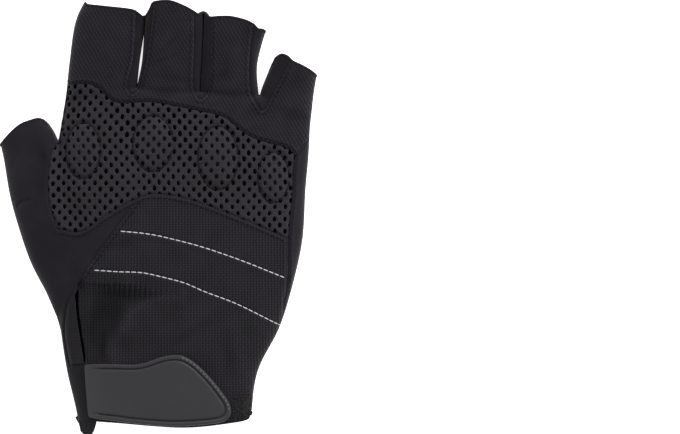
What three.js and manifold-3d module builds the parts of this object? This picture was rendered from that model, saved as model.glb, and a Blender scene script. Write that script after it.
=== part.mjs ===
import * as THREE from 'three';
import Module from 'manifold-3d';
import { mergeVertices } from 'three/addons/utils/BufferGeometryUtils.js';

// Fingerless cycling mitt for the right hand, lying palm down.
// Lengths are in millimetres, Z is up, the fingers point to +Y and the thumb to -X.
// Each cloth piece is cut from one thin shell that follows the hand, the fingers and the thumb.

// Overall sizes
const gloveWidth = 123;
const gloveLength = 168;
const backHeight = 12;
const palmDepth = 5.5;

// Cloth and padding
const clothWall = 1.3;
const pieceGap = 0.3;
const knucklePadRise = 0.7;
const knucklePadDepth = 0.9;
const palmPadThickness = 1.2;
const stripeThickness = 0.5;
const tabThickness = 0.9;
const heelPadFlattening = 0.25;
const slitWidth = 1.2;

// Closing strap
const strapThickness = 1.8;
const strapRimWidth = 2;
const strapRimRise = 0.4;

// Net: holes in staggered rows
const netHoleWidth = 2.6;
const netHoleHeight = 3.7;
const netPitchAcross = 7.4;
const netRowStep = 4.35;
const netMargin = 1;

// Roundness of the sections: 2 is an ellipse, more is squarer
const backRoundness = 2.5;
const palmRoundness = 6;

// Facets
const handFacets = 28;
const fingerFacets = 14;
const thumbFacets = 16;
const stationsPerRow = 1;
const curvePointsPerRow = 3;
const facetTolerance = 0.07;
const holeSides = 6;

// Heights that follow from the sizes
const seamHeight = palmDepth + pieceGap + palmPadThickness;
const farAbove = seamHeight + 3 * backHeight;
const farBelow = -palmDepth;

// Tubes: left and right edge of each section as per cent of the width (across) and the
// length (along), then the height over and the depth under the side seams as per cent of
// backHeight and palmDepth
const sectionColumns = ['leftAcross', 'leftAlong', 'rightAcross', 'rightAlong', 'over', 'under'];
const handRows = [
  [26.0, -4.0, 79.5, -4.0, 72, 96],
  [24.0, 5.0, 79.5, 5.0, 74, 100],
  [21.0, 14.5, 81.5, 14.5, 78, 100],
  [19.0, 24.0, 88.0, 24.0, 86, 100],
  [17.5, 33.0, 92.0, 33.0, 94, 100],
  [16.0, 45.0, 95.5, 44.5, 100, 100],
  [15.0, 57.0, 96.5, 56.0, 100, 100],
  [18.0, 66.0, 97.5, 64.5, 92, 100],
  [20.0, 74.0, 98.0, 72.0, 76, 100],
  [21.5, 81.0, 98.5, 77.5, 56, 94],
];
const indexRows = [
  [27.0, 102.5, 46.0, 99.5, 58, 96],
  [24.0, 95.5, 45.0, 93.5, 60, 96],
  [22.0, 86.0, 43.9, 86.0, 62, 96],
  [21.0, 79.0, 42.6, 79.0, 60, 96],
  [19.5, 71.5, 41.7, 71.5, 50, 90],
];
const middleRows = [
  [47.0, 103.0, 65.0, 102.5, 58, 96],
  [46.2, 94.5, 63.7, 95.5, 60, 96],
  [45.0, 86.0, 63.2, 86.5, 62, 96],
  [43.3, 79.0, 63.0, 79.0, 62, 96],
  [42.5, 71.5, 64.5, 71.5, 50, 90],
];
const ringRows = [
  [65.4, 99.5, 85.0, 95.5, 56, 96],
  [64.9, 93.5, 82.5, 90.0, 58, 96],
  [64.4, 86.5, 81.0, 84.5, 60, 96],
  [63.8, 79.0, 81.6, 78.0, 60, 96],
  [64.5, 71.5, 83.0, 70.5, 50, 90],
];
const littleRows = [
  [88.5, 90.0, 100.6, 85.0, 52, 94],
  [85.0, 83.5, 99.2, 79.0, 54, 94],
  [82.3, 78.0, 98.5, 74.5, 56, 94],
  [81.5, 71.5, 97.5, 68.5, 48, 90],
];
const thumbRows = [
  [-1.5, 68.5, 12.0, 74.5, 62, 94],
  [0.5, 63.5, 17.0, 69.5, 66, 96],
  [3.0, 55.0, 20.0, 63.0, 72, 98],
  [6.0, 47.5, 22.5, 54.0, 78, 100],
  [10.0, 39.5, 28.0, 47.0, 82, 100],
  [14.5, 32.5, 33.0, 39.5, 80, 100],
  [18.0, 26.5, 35.0, 32.5, 66, 98],
  [21.5, 21.0, 33.0, 24.0, 46, 80],
];

// Lines seen from above, each row across and along in per cent of the width and the length
const lineColumns = ['across', 'along'];
const fingerMouthRows = [
  [20.0, 100.0], [26.5, 99.3], [37.5, 98.4], [44.2, 96.5], [46.2, 99.0], [51.0, 100.0],
  [59.0, 98.0], [64.0, 96.8], [70.0, 96.6], [79.5, 94.7], [84.0, 92.8], [87.0, 87.0],
  [91.5, 87.0], [100.0, 82.8], [106.0, 80.0],
];
const thumbMouthRows = [
  [-3.0, 64.0], [0.0, 66.5], [6.0, 71.0], [12.0, 72.6], [16.5, 73.2],
];
const farFromFingerRows = [
  [106.0, 130.0], [20.0, 130.0],
];
const farFromThumbRows = [
  [16.5, 90.0], [-30.0, 90.0], [-30.0, 60.0],
];
const farFromWristRows = [
  [90.0, -30.0], [10.0, -30.0],
];
const backHemRows = [
  [20.0, -2.5], [26.5, 0.2], [28.5, 0.1], [30.5, 2.7], [37.5, 2.0], [57.0, 1.0], [74.0, 2.2],
  [80.0, 4.0], [86.0, 7.0],
];
const palmHemRows = [
  [20.0, 1.5], [27.0, 0.4], [47.0, 1.0], [63.0, 1.0], [74.0, 2.2], [80.0, 4.0], [86.0, 7.0],
];
const netTopRows = [
  [19.0, 80.5], [29.5, 80.5], [37.0, 76.5], [48.5, 76.5], [63.0, 74.5], [71.0, 73.0],
  [79.5, 68.5], [90.5, 66.0], [93.5, 64.0],
];
const netLeftRows = [
  [17.6, 71.5], [18.0, 67.5], [16.5, 64.0], [15.5, 58.0], [16.5, 52.0], [19.0, 47.2],
];
const netBottomRows = [
  [19.0, 47.2], [26.0, 46.6], [34.5, 50.5], [44.5, 54.5], [50.0, 55.2], [56.5, 54.7],
  [64.5, 53.0], [77.0, 49.5], [91.2, 45.0],
];
const sideSeamRows = [
  [100.0, 70.0], [93.5, 64.0], [92.5, 55.0], [91.2, 45.0], [91.0, 36.0], [89.5, 28.0],
  [90.0, 20.0],
];
const backDiagonalRows = [
  [44.5, 54.5], [37.0, 47.0], [28.5, 38.5], [24.5, 33.0],
];
const slitRows = [
  [24.5, 33.0], [24.5, 29.0], [25.2, 24.5], [27.0, 16.0],
];
const anchorSeamRows = [
  [27.0, 16.0], [27.7, 10.0], [29.0, 5.5], [30.5, -1.0],
];
const gussetSeamRows = [
  [15.0, 24.0], [18.0, 26.7], [21.0, 30.0], [24.5, 33.0],
];
const loopSeamRows = [
  [84.0, 8.6], [76.0, 9.0], [70.0, 8.0], [64.0, 4.5], [62.0, -2.0],
];
const palmSeamRows = [
  [2.5, 71.5], [3.5, 64.0], [6.5, 55.5], [12.5, 43.0], [20.5, 33.5], [28.0, 26.5], [34.0, 20.0],
  [39.0, 15.5], [41.5, 11.0], [43.0, 4.0], [43.5, -3.0],
];

// Closed outlines seen from above, in the same per cent
const fourchetteRows = {
  index_middle: [
    [43.0, 104.0], [43.0, 98.0], [42.6, 91.0], [42.0, 86.0], [40.7, 82.3], [40.5, 79.6],
    [42.2, 78.4], [44.2, 80.0], [46.4, 86.0], [47.5, 91.0], [48.6, 98.0], [49.0, 104.0],
  ],
  middle_ring: [
    [61.5, 102.0], [61.4, 89.0], [61.0, 82.0], [61.8, 78.6], [63.7, 77.2], [65.6, 78.6],
    [66.5, 82.0], [66.8, 89.0], [67.0, 102.0],
  ],
  ring_little: [
    [81.5, 100.0], [79.5, 91.0], [78.8, 84.0], [79.3, 79.0], [81.3, 76.2], [83.5, 74.6],
    [87.0, 79.2], [91.0, 84.8], [94.5, 92.0], [90.0, 100.0],
  ],
};
const outerSideRows = [
  [-6.0, 62.0], [-3.0, 68.5], [0.8, 68.0], [2.3, 63.0], [4.8, 55.0], [9.5, 45.5],
  [14.5, 37.5], [19.0, 31.0], [18.6, 28.2], [15.0, 25.0], [-6.0, 30.0],
];
const strapRows = [
  [27.7, 15.9], [35.0, 15.6], [44.0, 15.4], [52.0, 17.3], [56.5, 18.0], [60.0, 17.0],
  [64.5, 13.8], [69.0, 9.4], [72.6, 5.2], [71.5, 2.6], [66.0, 1.8], [57.0, 1.3],
  [41.0, 1.9], [32.0, 2.6], [28.9, 3.6],
];
const stripeRows = [
  [30.5, 75.3], [41.0, 76.0], [52.0, 75.6], [71.0, 73.1], [85.7, 68.8], [94.0, 63.7],
  [97.0, 60.0], [96.5, 52.5], [90.0, 58.4], [80.3, 64.4], [67.7, 69.7], [52.0, 72.8],
  [41.0, 74.2],
];
const heelPadRows = [
  [39.0, 59.5], [50.0, 55.5], [57.0, 47.0], [61.0, 39.5], [61.0, 31.5], [56.5, 24.0],
  [49.5, 18.5], [43.0, 16.8], [37.0, 19.5], [30.0, 27.5], [23.0, 35.0], [24.0, 48.5],
  [27.0, 60.0], [32.0, 61.5],
];
const tabRows = [
  [48.2, 98.4], [54.5, 98.0], [61.0, 96.6], [60.0, 90.5], [58.5, 84.6], [52.0, 85.6],
  [45.9, 86.4], [47.0, 92.0],
];

// Knuckle pads: centre in per cent of the width and length, half sizes in mm
const knucklePadRows = {
  index: { across: 27.2, along: 64.7, halfWidth: 7.2, halfLength: 9.6 },
  middle: { across: 49.0, along: 66.4, halfWidth: 7.8, halfLength: 10.4 },
  ring: { across: 70.0, along: 63.4, halfWidth: 7.6, halfLength: 11 },
  little: { across: 86.2, along: 58.8, halfWidth: 5.6, halfLength: 9 },
};

const wasm = await Module();
wasm.setup();

const across = (share) => (share / 100 - 0.5) * gloveWidth;
const along = (share) => (share / 100 - 0.5) * gloveLength;

// One row of a table as an object with the names of its columns
function named(columns, row) {
  return Object.fromEntries(columns.map((name, place) => [name, row[place]]));
}

// Point seen from above for one row of a line
function planPoint(row) {
  const point = named(lineColumns, row);
  return new THREE.Vector2(across(point.across), along(point.along));
}

// Smooth curve through the rows of a line
function planCurve(rows) {
  const curve = new THREE.SplineCurve(rows.map(planPoint));
  return curve.getPoints((rows.length - 1) * curvePointsPerRow);
}

// Smooth closed outline through the rows of a table
function closedOutline(rows) {
  const points = rows.map(planPoint).map((point) => new THREE.Vector3(point.x, point.y, 0));
  const curve = new THREE.CatmullRomCurve3(points, true, 'centripetal');
  const sampled = curve.getPoints(rows.length * curvePointsPerRow);
  sampled.pop();
  return sampled.map((point) => new THREE.Vector2(point.x, point.y));
}

// Outline of an oval, larger or smaller by a growth
function ovalOutline(pad, growth) {
  const centre = planPoint([pad.across, pad.along]);
  const curve = new THREE.EllipseCurve(
    centre.x,
    centre.y,
    pad.halfWidth + growth,
    pad.halfLength + growth,
  );
  const sampled = curve.getPoints(fingerFacets);
  sampled.pop();
  return sampled;
}

function solidOf(geometry) {
  const bare = geometry.index ? geometry.toNonIndexed() : geometry.clone();
  bare.deleteAttribute('normal');
  bare.deleteAttribute('uv');
  const merged = mergeVertices(bare, 1e-5);
  const mesh = new wasm.Mesh({
    numProp: 3,
    vertProperties: new Float32Array(merged.attributes.position.array),
    triVerts: new Uint32Array(merged.index.array),
  });
  return new wasm.Manifold(mesh);
}

// Upright block with the given outline
function prism(points, low = farBelow, high = farAbove) {
  const shape = new THREE.Shape(points);
  const geometry = new THREE.ExtrudeGeometry(shape, { depth: high - low, bevelEnabled: false });
  geometry.translate(0, 0, low);
  return solidOf(geometry);
}

// Direction square to a line of points at one of them
function sideways(points, place) {
  const before = points[Math.max(place - 1, 0)];
  const after = points[Math.min(place + 1, points.length - 1)];
  const step = after.clone().sub(before).normalize();
  return new THREE.Vector2(-step.y, step.x);
}

// Upright strip of constant width along a line, a little longer than the line
function seamCut(rows, width = pieceGap) {
  const points = planCurve(rows);
  const first = points[0].clone().sub(points[1]).setLength(pieceGap);
  const last = points.at(-1).clone().sub(points.at(-2)).setLength(pieceGap);
  points[0].add(first);
  points.at(-1).add(last);
  const left = points.map((point, place) => (
    point.clone().addScaledVector(sideways(points, place), width / 2)
  ));
  const right = points.map((point, place) => (
    point.clone().addScaledVector(sideways(points, place), -width / 2)
  ));
  return prism([...right, ...left.reverse()]);
}

// Outline moved outward by a distance
function grown(points, distance) {
  const count = points.length;
  const sign = THREE.ShapeUtils.isClockWise(points) ? 1 : -1;
  return points.map((point, place) => {
    const before = points[(place + count - 1) % count];
    const after = points[(place + 1) % count];
    const step = after.clone().sub(before).normalize();
    return new THREE.Vector2(
      point.x - sign * step.y * distance,
      point.y + sign * step.x * distance,
    );
  });
}

// Sections between the rows of a tube, on a smooth curve through each column
function stations(rows) {
  const columns = sectionColumns.map((name, place) => {
    const points = rows.map((row, index) => new THREE.Vector2(index, row[place]));
    return new THREE.SplineCurve(points);
  });
  const count = (rows.length - 1) * stationsPerRow;
  return Array.from({ length: count + 1 }, (unused, index) => (
    named(sectionColumns, columns.map((curve) => curve.getPoint(index / count).y))
  ));
}

// Closed tube over the sections of a table, larger by a growth on every side
function tube(rows, facets, growth = 0) {
  const sections = stations(rows);
  const positions = [];
  const indices = [];
  for (const section of sections) {
    const left = planPoint([section.leftAcross, section.leftAlong]);
    const right = planPoint([section.rightAcross, section.rightAlong]);
    const centre = left.clone().add(right).multiplyScalar(0.5);
    const half = right.clone().sub(left).multiplyScalar(0.5);
    const scale = (half.length() + growth) / half.length();
    const over = section.over / 100 * backHeight + growth;
    const under = section.under / 100 * palmDepth + growth;
    for (let facet = 0; facet < facets; facet += 1) {
      const angle = 2 * Math.PI * facet / facets;
      const roundness = Math.sin(angle) < 0 ? palmRoundness : backRoundness;
      const wide = Math.sign(Math.cos(angle)) * Math.abs(Math.cos(angle)) ** (2 / roundness);
      const tall = Math.sign(Math.sin(angle)) * Math.abs(Math.sin(angle)) ** (2 / roundness);
      const height = tall * (tall < 0 ? under : over);
      positions.push(
        centre.x + half.x * scale * wide,
        centre.y + half.y * scale * wide,
        seamHeight + height,
      );
    }
  }
  const rings = sections.length;
  for (let ring = 0; ring < rings - 1; ring += 1) {
    for (let facet = 0; facet < facets; facet += 1) {
      const next = (facet + 1) % facets;
      const here = ring * facets;
      const there = here + facets;
      indices.push(here + facet, here + next, there + next);
      indices.push(here + facet, there + next, there + facet);
    }
  }
  for (let facet = 1; facet < facets - 1; facet += 1) {
    const top = (rings - 1) * facets;
    indices.push(0, facet + 1, facet);
    indices.push(top, top + facet, top + facet + 1);
  }
  const ahead = sections[1].leftAlong > sections[0].leftAlong;
  if (ahead) {
    indices.reverse();
  }
  const geometry = new THREE.BufferGeometry();
  geometry.setAttribute('position', new THREE.Float32BufferAttribute(positions, 3));
  geometry.setIndex(indices);
  return solidOf(geometry);
}

// Rows of the hand with its finger end drawn back, so that the wall there keeps its thickness
function handRowsFor(growth) {
  const rows = handRows.map((row) => [...row]);
  const end = rows.at(-1);
  const back = growth / gloveLength * 100;
  end[sectionColumns.indexOf('leftAlong')] += back;
  end[sectionColumns.indexOf('rightAlong')] += back;
  return rows;
}

// Hand, fingers and thumb as one body, larger or smaller by a growth
function body(growth) {
  const parts = [
    tube(handRowsFor(growth), handFacets, growth),
    tube(indexRows, fingerFacets, growth),
    tube(middleRows, fingerFacets, growth),
    tube(ringRows, fingerFacets, growth),
    tube(littleRows, fingerFacets, growth),
    tube(thumbRows, thumbFacets, growth),
  ];
  return wasm.Manifold.union(parts);
}

function slab(low, high) {
  const box = new THREE.BoxGeometry(4 * gloveWidth, 4 * gloveLength, high - low);
  box.translate(0, 0, (low + high) / 2);
  return solidOf(box);
}

// Block beyond a mouth line, on the side of a far point
function beyond(rows, farRows) {
  return prism([...planCurve(rows), ...farRows.map(planPoint)]);
}

const upperSpace = slab(seamHeight, farAbove);
const lowerSpace = slab(farBelow, seamHeight);
const seamSlab = slab(seamHeight - pieceGap / 2, seamHeight + pieceGap / 2);

const fingerMouths = beyond(fingerMouthRows, farFromFingerRows);
const thumbMouth = beyond(thumbMouthRows, farFromThumbRows);
const backHem = beyond(backHemRows, farFromWristRows);
const palmHem = beyond(palmHemRows, farFromWristRows);
const mouths = fingerMouths.add(thumbMouth);

// Raised ovals over the knuckles
const ovals = (growth) => wasm.Manifold.union(
  Object.values(knucklePadRows).map((pad) => prism(ovalOutline(pad, growth), seamHeight)),
);
const handOnly = (growth) => tube(handRowsFor(growth), handFacets, growth);
const raisedOuter = handOnly(knucklePadRise).intersect(ovals(0));
const raisedInner = handOnly(knucklePadRise - clothWall).intersect(ovals(-clothWall));

const outer = body(0).add(raisedOuter);
const inner = body(-clothWall).add(raisedInner);
const wholeShell = outer.subtract(inner).subtract(mouths);

// Cloth shell with its hems, which differ between back and palm
const upperShell = wholeShell.intersect(upperSpace).subtract(backHem);
const lowerShell = wholeShell.intersect(lowerSpace).subtract(palmHem);
const shell = upperShell.add(lowerShell);

// Largest body of a solid that an upright rod at the given place goes through
function bodyAt(solid, acrossShare, alongShare) {
  const rod = prism(ovalOutline({
    across: acrossShare,
    along: alongShare,
    halfWidth: clothWall,
    halfLength: clothWall,
  }, 0));
  const hit = solid.decompose().filter((part) => !part.intersect(rod).isEmpty());
  hit.sort((one, other) => other.volume() - one.volume());
  return hit[0];
}

// Body of a solid that shares most of its space with a given part
function largestTouching(solid, part) {
  const parts = solid.decompose();
  const shared = parts.map((one) => one.intersect(part).volume());
  return parts[shared.indexOf(Math.max(...shared))];
}

// Largest body of a solid
function largest(solid) {
  const parts = solid.decompose();
  parts.sort((one, other) => other.volume() - one.volume());
  return parts[0];
}

const pieces = new Map();

// Side walls between the fingers, cut out of the shell at full height
let restShell = shell;
for (const [place, rows] of Object.entries(fourchetteRows)) {
  const outline = closedOutline(rows);
  pieces.set(`fourchette_${place}`, largest(shell.intersect(prism(outline))));
  restShell = restShell.subtract(prism(grown(outline, pieceGap)));
}

// Back and palm are parted at the side seams, apart from the thumb's outer side
const outerSide = prism(closedOutline(outerSideRows));
restShell = restShell.subtract(seamSlab.subtract(outerSide));

const backCuts = wasm.Manifold.union([
  seamCut(netTopRows),
  seamCut(netLeftRows),
  seamCut(netBottomRows),
  seamCut(sideSeamRows),
  seamCut(backDiagonalRows),
  seamCut(slitRows, slitWidth),
  seamCut(anchorSeamRows),
  seamCut(gussetSeamRows),
  seamCut(loopSeamRows),
]).intersect(upperSpace);
const palmCuts = seamCut(palmSeamRows).intersect(lowerSpace);
const cloth = restShell.subtract(backCuts).subtract(palmCuts);

const clothPlaces = {
  finger_back: [30, 88],
  hand_back: [60, 38],
  thumb_side: [8, 60],
  side_strip: [94.5, 48],
  slit_binding: [22.5, 20],
  loop_patch: [75, 5],
};
const upperCloth = cloth.intersect(slab(seamHeight + pieceGap, farAbove));
for (const [name, place] of Object.entries(clothPlaces)) {
  const seen = bodyAt(upperCloth, ...place);
  pieces.set(name, largestTouching(cloth, seen));
}
pieces.set('palm', bodyAt(cloth.intersect(lowerSpace), 60, 30));

// Net with upright six-sided holes, kept clear of its own edges
const netSolid = largestTouching(cloth, bodyAt(upperCloth, 58, 65));
const netOutline = [
  ...planCurve(netTopRows),
  ...planCurve(sideSeamRows.slice(1, 4)),
  ...planCurve(netBottomRows).reverse(),
  ...planCurve(netLeftRows).reverse(),
];

function isInside(point, outline) {
  let inside = false;
  outline.forEach((one, place) => {
    const other = outline[(place + 1) % outline.length];
    const straddles = (one.y > point.y) !== (other.y > point.y);
    const crossing = one.x + (point.y - one.y) / (other.y - one.y) * (other.x - one.x);
    if (straddles && point.x < crossing) {
      inside = !inside;
    }
  });
  return inside;
}

function netHoles() {
  const reach = new THREE.Vector2(netHoleWidth / 2 + netMargin, netHoleHeight / 2 + netMargin);
  const holes = [];
  const rowsOfHoles = Math.ceil(gloveLength / netRowStep);
  const holesInRow = Math.ceil(gloveWidth / netPitchAcross);
  for (let row = 0; row < rowsOfHoles; row += 1) {
    for (let place = 0; place < holesInRow; place += 1) {
      const shift = row % 2 === 0 ? 0 : netPitchAcross / 2;
      const x = -gloveWidth / 2 + place * netPitchAcross + shift;
      const y = -gloveLength / 2 + row * netRowStep;
      const corners = [[1, 1], [-1, 1], [1, -1], [-1, -1], [0, 1], [0, -1], [1, 0], [-1, 0]];
      const clear = corners.every(([sideX, sideY]) => isInside(
        new THREE.Vector2(x + sideX * reach.x, y + sideY * reach.y),
        netOutline,
      ));
      if (clear) {
        const ring = new THREE.EllipseCurve(x, y, netHoleWidth / 2, netHoleHeight / 2);
        ring.aStartAngle = Math.PI / 2;
        ring.aEndAngle = 2.5 * Math.PI;
        holes.push(prism(ring.getPoints(holeSides).slice(0, -1), seamHeight));
      }
    }
  }
  return holes;
}
pieces.set('knuckle_net', largest(netSolid.subtract(wasm.Manifold.union(netHoles()))));

// Knuckle pads under the raised ovals of the net
const padTop = handOnly(knucklePadRise - clothWall - pieceGap);
const padBottom = handOnly(-clothWall - pieceGap - knucklePadDepth);
const padLayer = padTop.subtract(padBottom).intersect(upperSpace);
for (const [finger, pad] of Object.entries(knucklePadRows)) {
  const block = prism(ovalOutline(pad, -clothWall - pieceGap), seamHeight);
  pieces.set(`knuckle_pad_${finger}`, largest(padLayer.intersect(block)));
}

// Closing strap over the wrist, with a raised rim
const strapOutline = closedOutline(strapRows);
const strapUnder = handOnly(pieceGap);
const strapTop = handOnly(pieceGap + strapThickness);
const strapFace = handOnly(pieceGap + strapThickness - strapRimRise);
const strapInside = prism(grown(strapOutline, -strapRimWidth), seamHeight);
const strapLayer = strapTop.subtract(strapInside).add(strapFace).subtract(strapUnder);
pieces.set('wrist_strap', largest(strapLayer.intersect(prism(strapOutline, seamHeight))));

// Flat pieces on the palm
const palmSide = slab(farBelow, seamHeight - palmDepth / 2);
const underHand = body(pieceGap);
const palmLayer = (rows, thickness, over) => largest(
  over(pieceGap + thickness)
    .subtract(underHand)
    .intersect(prism(closedOutline(rows)))
    .intersect(palmSide),
);
const floorSpace = slab(0, farAbove);
const heelPad = palmLayer(heelPadRows, palmPadThickness + heelPadFlattening, handOnly);
pieces.set('heel_pad', largest(heelPad.intersect(floorSpace)));
pieces.set('palm_stripe', palmLayer(stripeRows, stripeThickness, body));
const middleOnly = (growth) => tube(middleRows, fingerFacets, growth);
pieces.set('pull_tab', palmLayer(tabRows, tabThickness, middleOnly));

// Looks of the pieces
const materialTable = {
  finger_back: { color: 0x2b292c, roughness: 0.9 },
  knuckle_net: { color: 0x343236, roughness: 0.85 },
  knuckle_pad_index: { color: 0x1c1a1d, roughness: 0.95 },
  knuckle_pad_middle: { color: 0x1c1a1d, roughness: 0.95 },
  knuckle_pad_ring: { color: 0x1c1a1d, roughness: 0.95 },
  knuckle_pad_little: { color: 0x1c1a1d, roughness: 0.95 },
  hand_back: { color: 0x2c2b2e, roughness: 0.88 },
  thumb_side: { color: 0x262427, roughness: 0.92 },
  side_strip: { color: 0x29252a, roughness: 0.92 },
  fourchette_index_middle: { color: 0x222024, roughness: 0.92 },
  fourchette_middle_ring: { color: 0x222024, roughness: 0.92 },
  fourchette_ring_little: { color: 0x252328, roughness: 0.92 },
  palm: { color: 0x262325, roughness: 0.95 },
  slit_binding: { color: 0x29272b, roughness: 0.85 },
  loop_patch: { color: 0x222024, roughness: 0.98 },
  wrist_strap: { color: 0x3a383b, roughness: 0.5 },
  heel_pad: { color: 0x282527, roughness: 0.95 },
  palm_stripe: { color: 0xc4c4c8, roughness: 0.35 },
  pull_tab: { color: 0x7d7873, roughness: 0.8 },
};

// Mesh of a solid, without the facets that lie in one plane with their neighbours
function geometryOf(solid) {
  const mesh = solid.simplify(facetTolerance).getMesh();
  const geometry = new THREE.BufferGeometry();
  const stride = mesh.numProp;
  const positions = [];
  for (let place = 0; place < mesh.vertProperties.length; place += stride) {
    positions.push(...mesh.vertProperties.subarray(place, place + 3));
  }
  geometry.setAttribute('position', new THREE.Float32BufferAttribute(positions, 3));
  geometry.setIndex([...mesh.triVerts]);
  const flat = geometry.toNonIndexed();
  flat.computeVertexNormals();
  return flat;
}

const group = new THREE.Group();
group.name = 'cycling_mitt';
const bounds = new THREE.Box3();
const geometries = [...pieces].map(([name, solid]) => {
  const geometry = geometryOf(solid);
  geometry.computeBoundingBox();
  bounds.union(geometry.boundingBox);
  return [name, geometry];
});
const middle = bounds.getCenter(new THREE.Vector3());
for (const [name, geometry] of geometries) {
  geometry.translate(-middle.x, -middle.y, -bounds.min.z);
  const look = materialTable[name];
  const material = new THREE.MeshStandardMaterial({ ...look, metalness: 0 });
  const mesh = new THREE.Mesh(geometry, material);
  mesh.name = name;
  group.add(mesh);
}

export default group;
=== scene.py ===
"""Fingerless cycling mitt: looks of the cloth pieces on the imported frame.

Plan lines are in per cent of the mitt's width and length; surfaces are computed in
millimetres and written in metres.
"""

import math

import bpy
import numpy as np
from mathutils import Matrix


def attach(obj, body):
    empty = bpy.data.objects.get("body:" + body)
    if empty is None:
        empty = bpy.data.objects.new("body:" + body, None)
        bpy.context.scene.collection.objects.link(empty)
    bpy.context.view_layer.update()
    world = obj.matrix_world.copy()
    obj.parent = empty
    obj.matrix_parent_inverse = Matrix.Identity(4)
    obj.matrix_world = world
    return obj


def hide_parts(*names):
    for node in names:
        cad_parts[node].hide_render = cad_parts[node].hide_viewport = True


bl_info = {
    "name": "Cycling Mitt",
    "version": (1, 0, 0),
    "blender": (4, 5, 0),
    "location": "3D View > Sidebar > Mitt",
    "description": "Builds the cloth pieces of a fingerless cycling mitt on its packed frame",
    "category": "Add Mesh",
}

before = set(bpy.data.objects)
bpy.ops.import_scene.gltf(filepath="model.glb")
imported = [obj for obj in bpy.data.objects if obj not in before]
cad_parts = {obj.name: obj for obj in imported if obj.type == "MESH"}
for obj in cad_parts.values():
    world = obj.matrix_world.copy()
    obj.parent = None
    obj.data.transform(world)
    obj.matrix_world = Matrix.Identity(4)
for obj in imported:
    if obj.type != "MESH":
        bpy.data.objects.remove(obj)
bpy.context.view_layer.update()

MM = 0.001
WIDTH, LENGTH = 123.0, 168.0
PLAN_SHIFT = (-0.45, 0.0)
BACK_HEIGHT, PALM_DEPTH, SEAM_HEIGHT = 12.0, 5.5, 7.0
BACK_ROUNDNESS, PALM_ROUNDNESS = 2.5, 3.4
BLEND = 7.0
CAP_ROUND = 5.0

# Tubes, wrist to fingertip: left across, left along, right across, right along, over, under
TUBES = {
    "hand": [
        (26.0, -4.0, 79.5, -4.0, 72, 96),
        (24.0, 5.0, 79.5, 5.0, 74, 100),
        (21.0, 14.5, 81.5, 14.5, 78, 100),
        (19.0, 24.0, 88.0, 24.0, 86, 100),
        (17.5, 33.0, 92.0, 33.0, 94, 100),
        (16.0, 45.0, 95.5, 44.5, 100, 100),
        (15.0, 57.0, 96.5, 56.0, 100, 100),
        (18.0, 66.0, 97.5, 64.5, 92, 100),
        (20.0, 74.0, 98.0, 72.0, 76, 100),
        (21.5, 81.0, 98.5, 77.5, 60, 94),
    ],
    "index": [
        (19.5, 71.5, 41.7, 71.5, 50, 90),
        (21.0, 79.0, 42.85, 79.0, 60, 96),
        (22.0, 86.0, 43.8, 86.0, 62, 96),
        (24.0, 95.5, 45.35, 93.5, 60, 96),
        (28.6, 102.5, 46.1, 99.5, 58, 96),
    ],
    "middle": [
        (42.5, 71.5, 64.5, 71.5, 50, 90),
        (43.15, 79.0, 63.28, 79.0, 62, 96),
        (45.0, 86.0, 63.78, 86.5, 62, 96),
        (45.75, 94.5, 64.1, 95.5, 60, 96),
        (46.4, 103.0, 64.3, 102.5, 58, 96),
    ],
    "ring": [
        (64.5, 71.5, 83.0, 70.5, 50, 90),
        (63.45, 79.0, 81.6, 78.0, 60, 96),
        (64.0, 86.5, 81.0, 84.5, 60, 96),
        (64.4, 93.5, 82.5, 90.0, 58, 96),
        (64.6, 99.5, 85.0, 95.5, 56, 96),
    ],
    "little": [
        (81.5, 71.5, 97.5, 68.5, 48, 90),
        (82.3, 78.0, 98.5, 74.5, 56, 94),
        (85.0, 83.5, 99.2, 79.0, 54, 94),
        (88.5, 90.0, 100.6, 85.0, 52, 94),
    ],
    "thumb": [
        (21.5, 21.0, 33.0, 24.0, 46, 80),
        (18.0, 26.5, 35.0, 32.5, 66, 98),
        (14.5, 32.5, 33.0, 39.5, 80, 100),
        (9.6, 39.5, 28.0, 47.0, 82, 100),
        (5.8, 47.5, 22.5, 54.0, 78, 100),
        (3.0, 55.0, 20.0, 63.0, 72, 98),
        (1.0, 63.5, 17.0, 69.5, 66, 96),
        (-0.6, 68.5, 12.0, 74.5, 62, 94),
    ],
}

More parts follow.
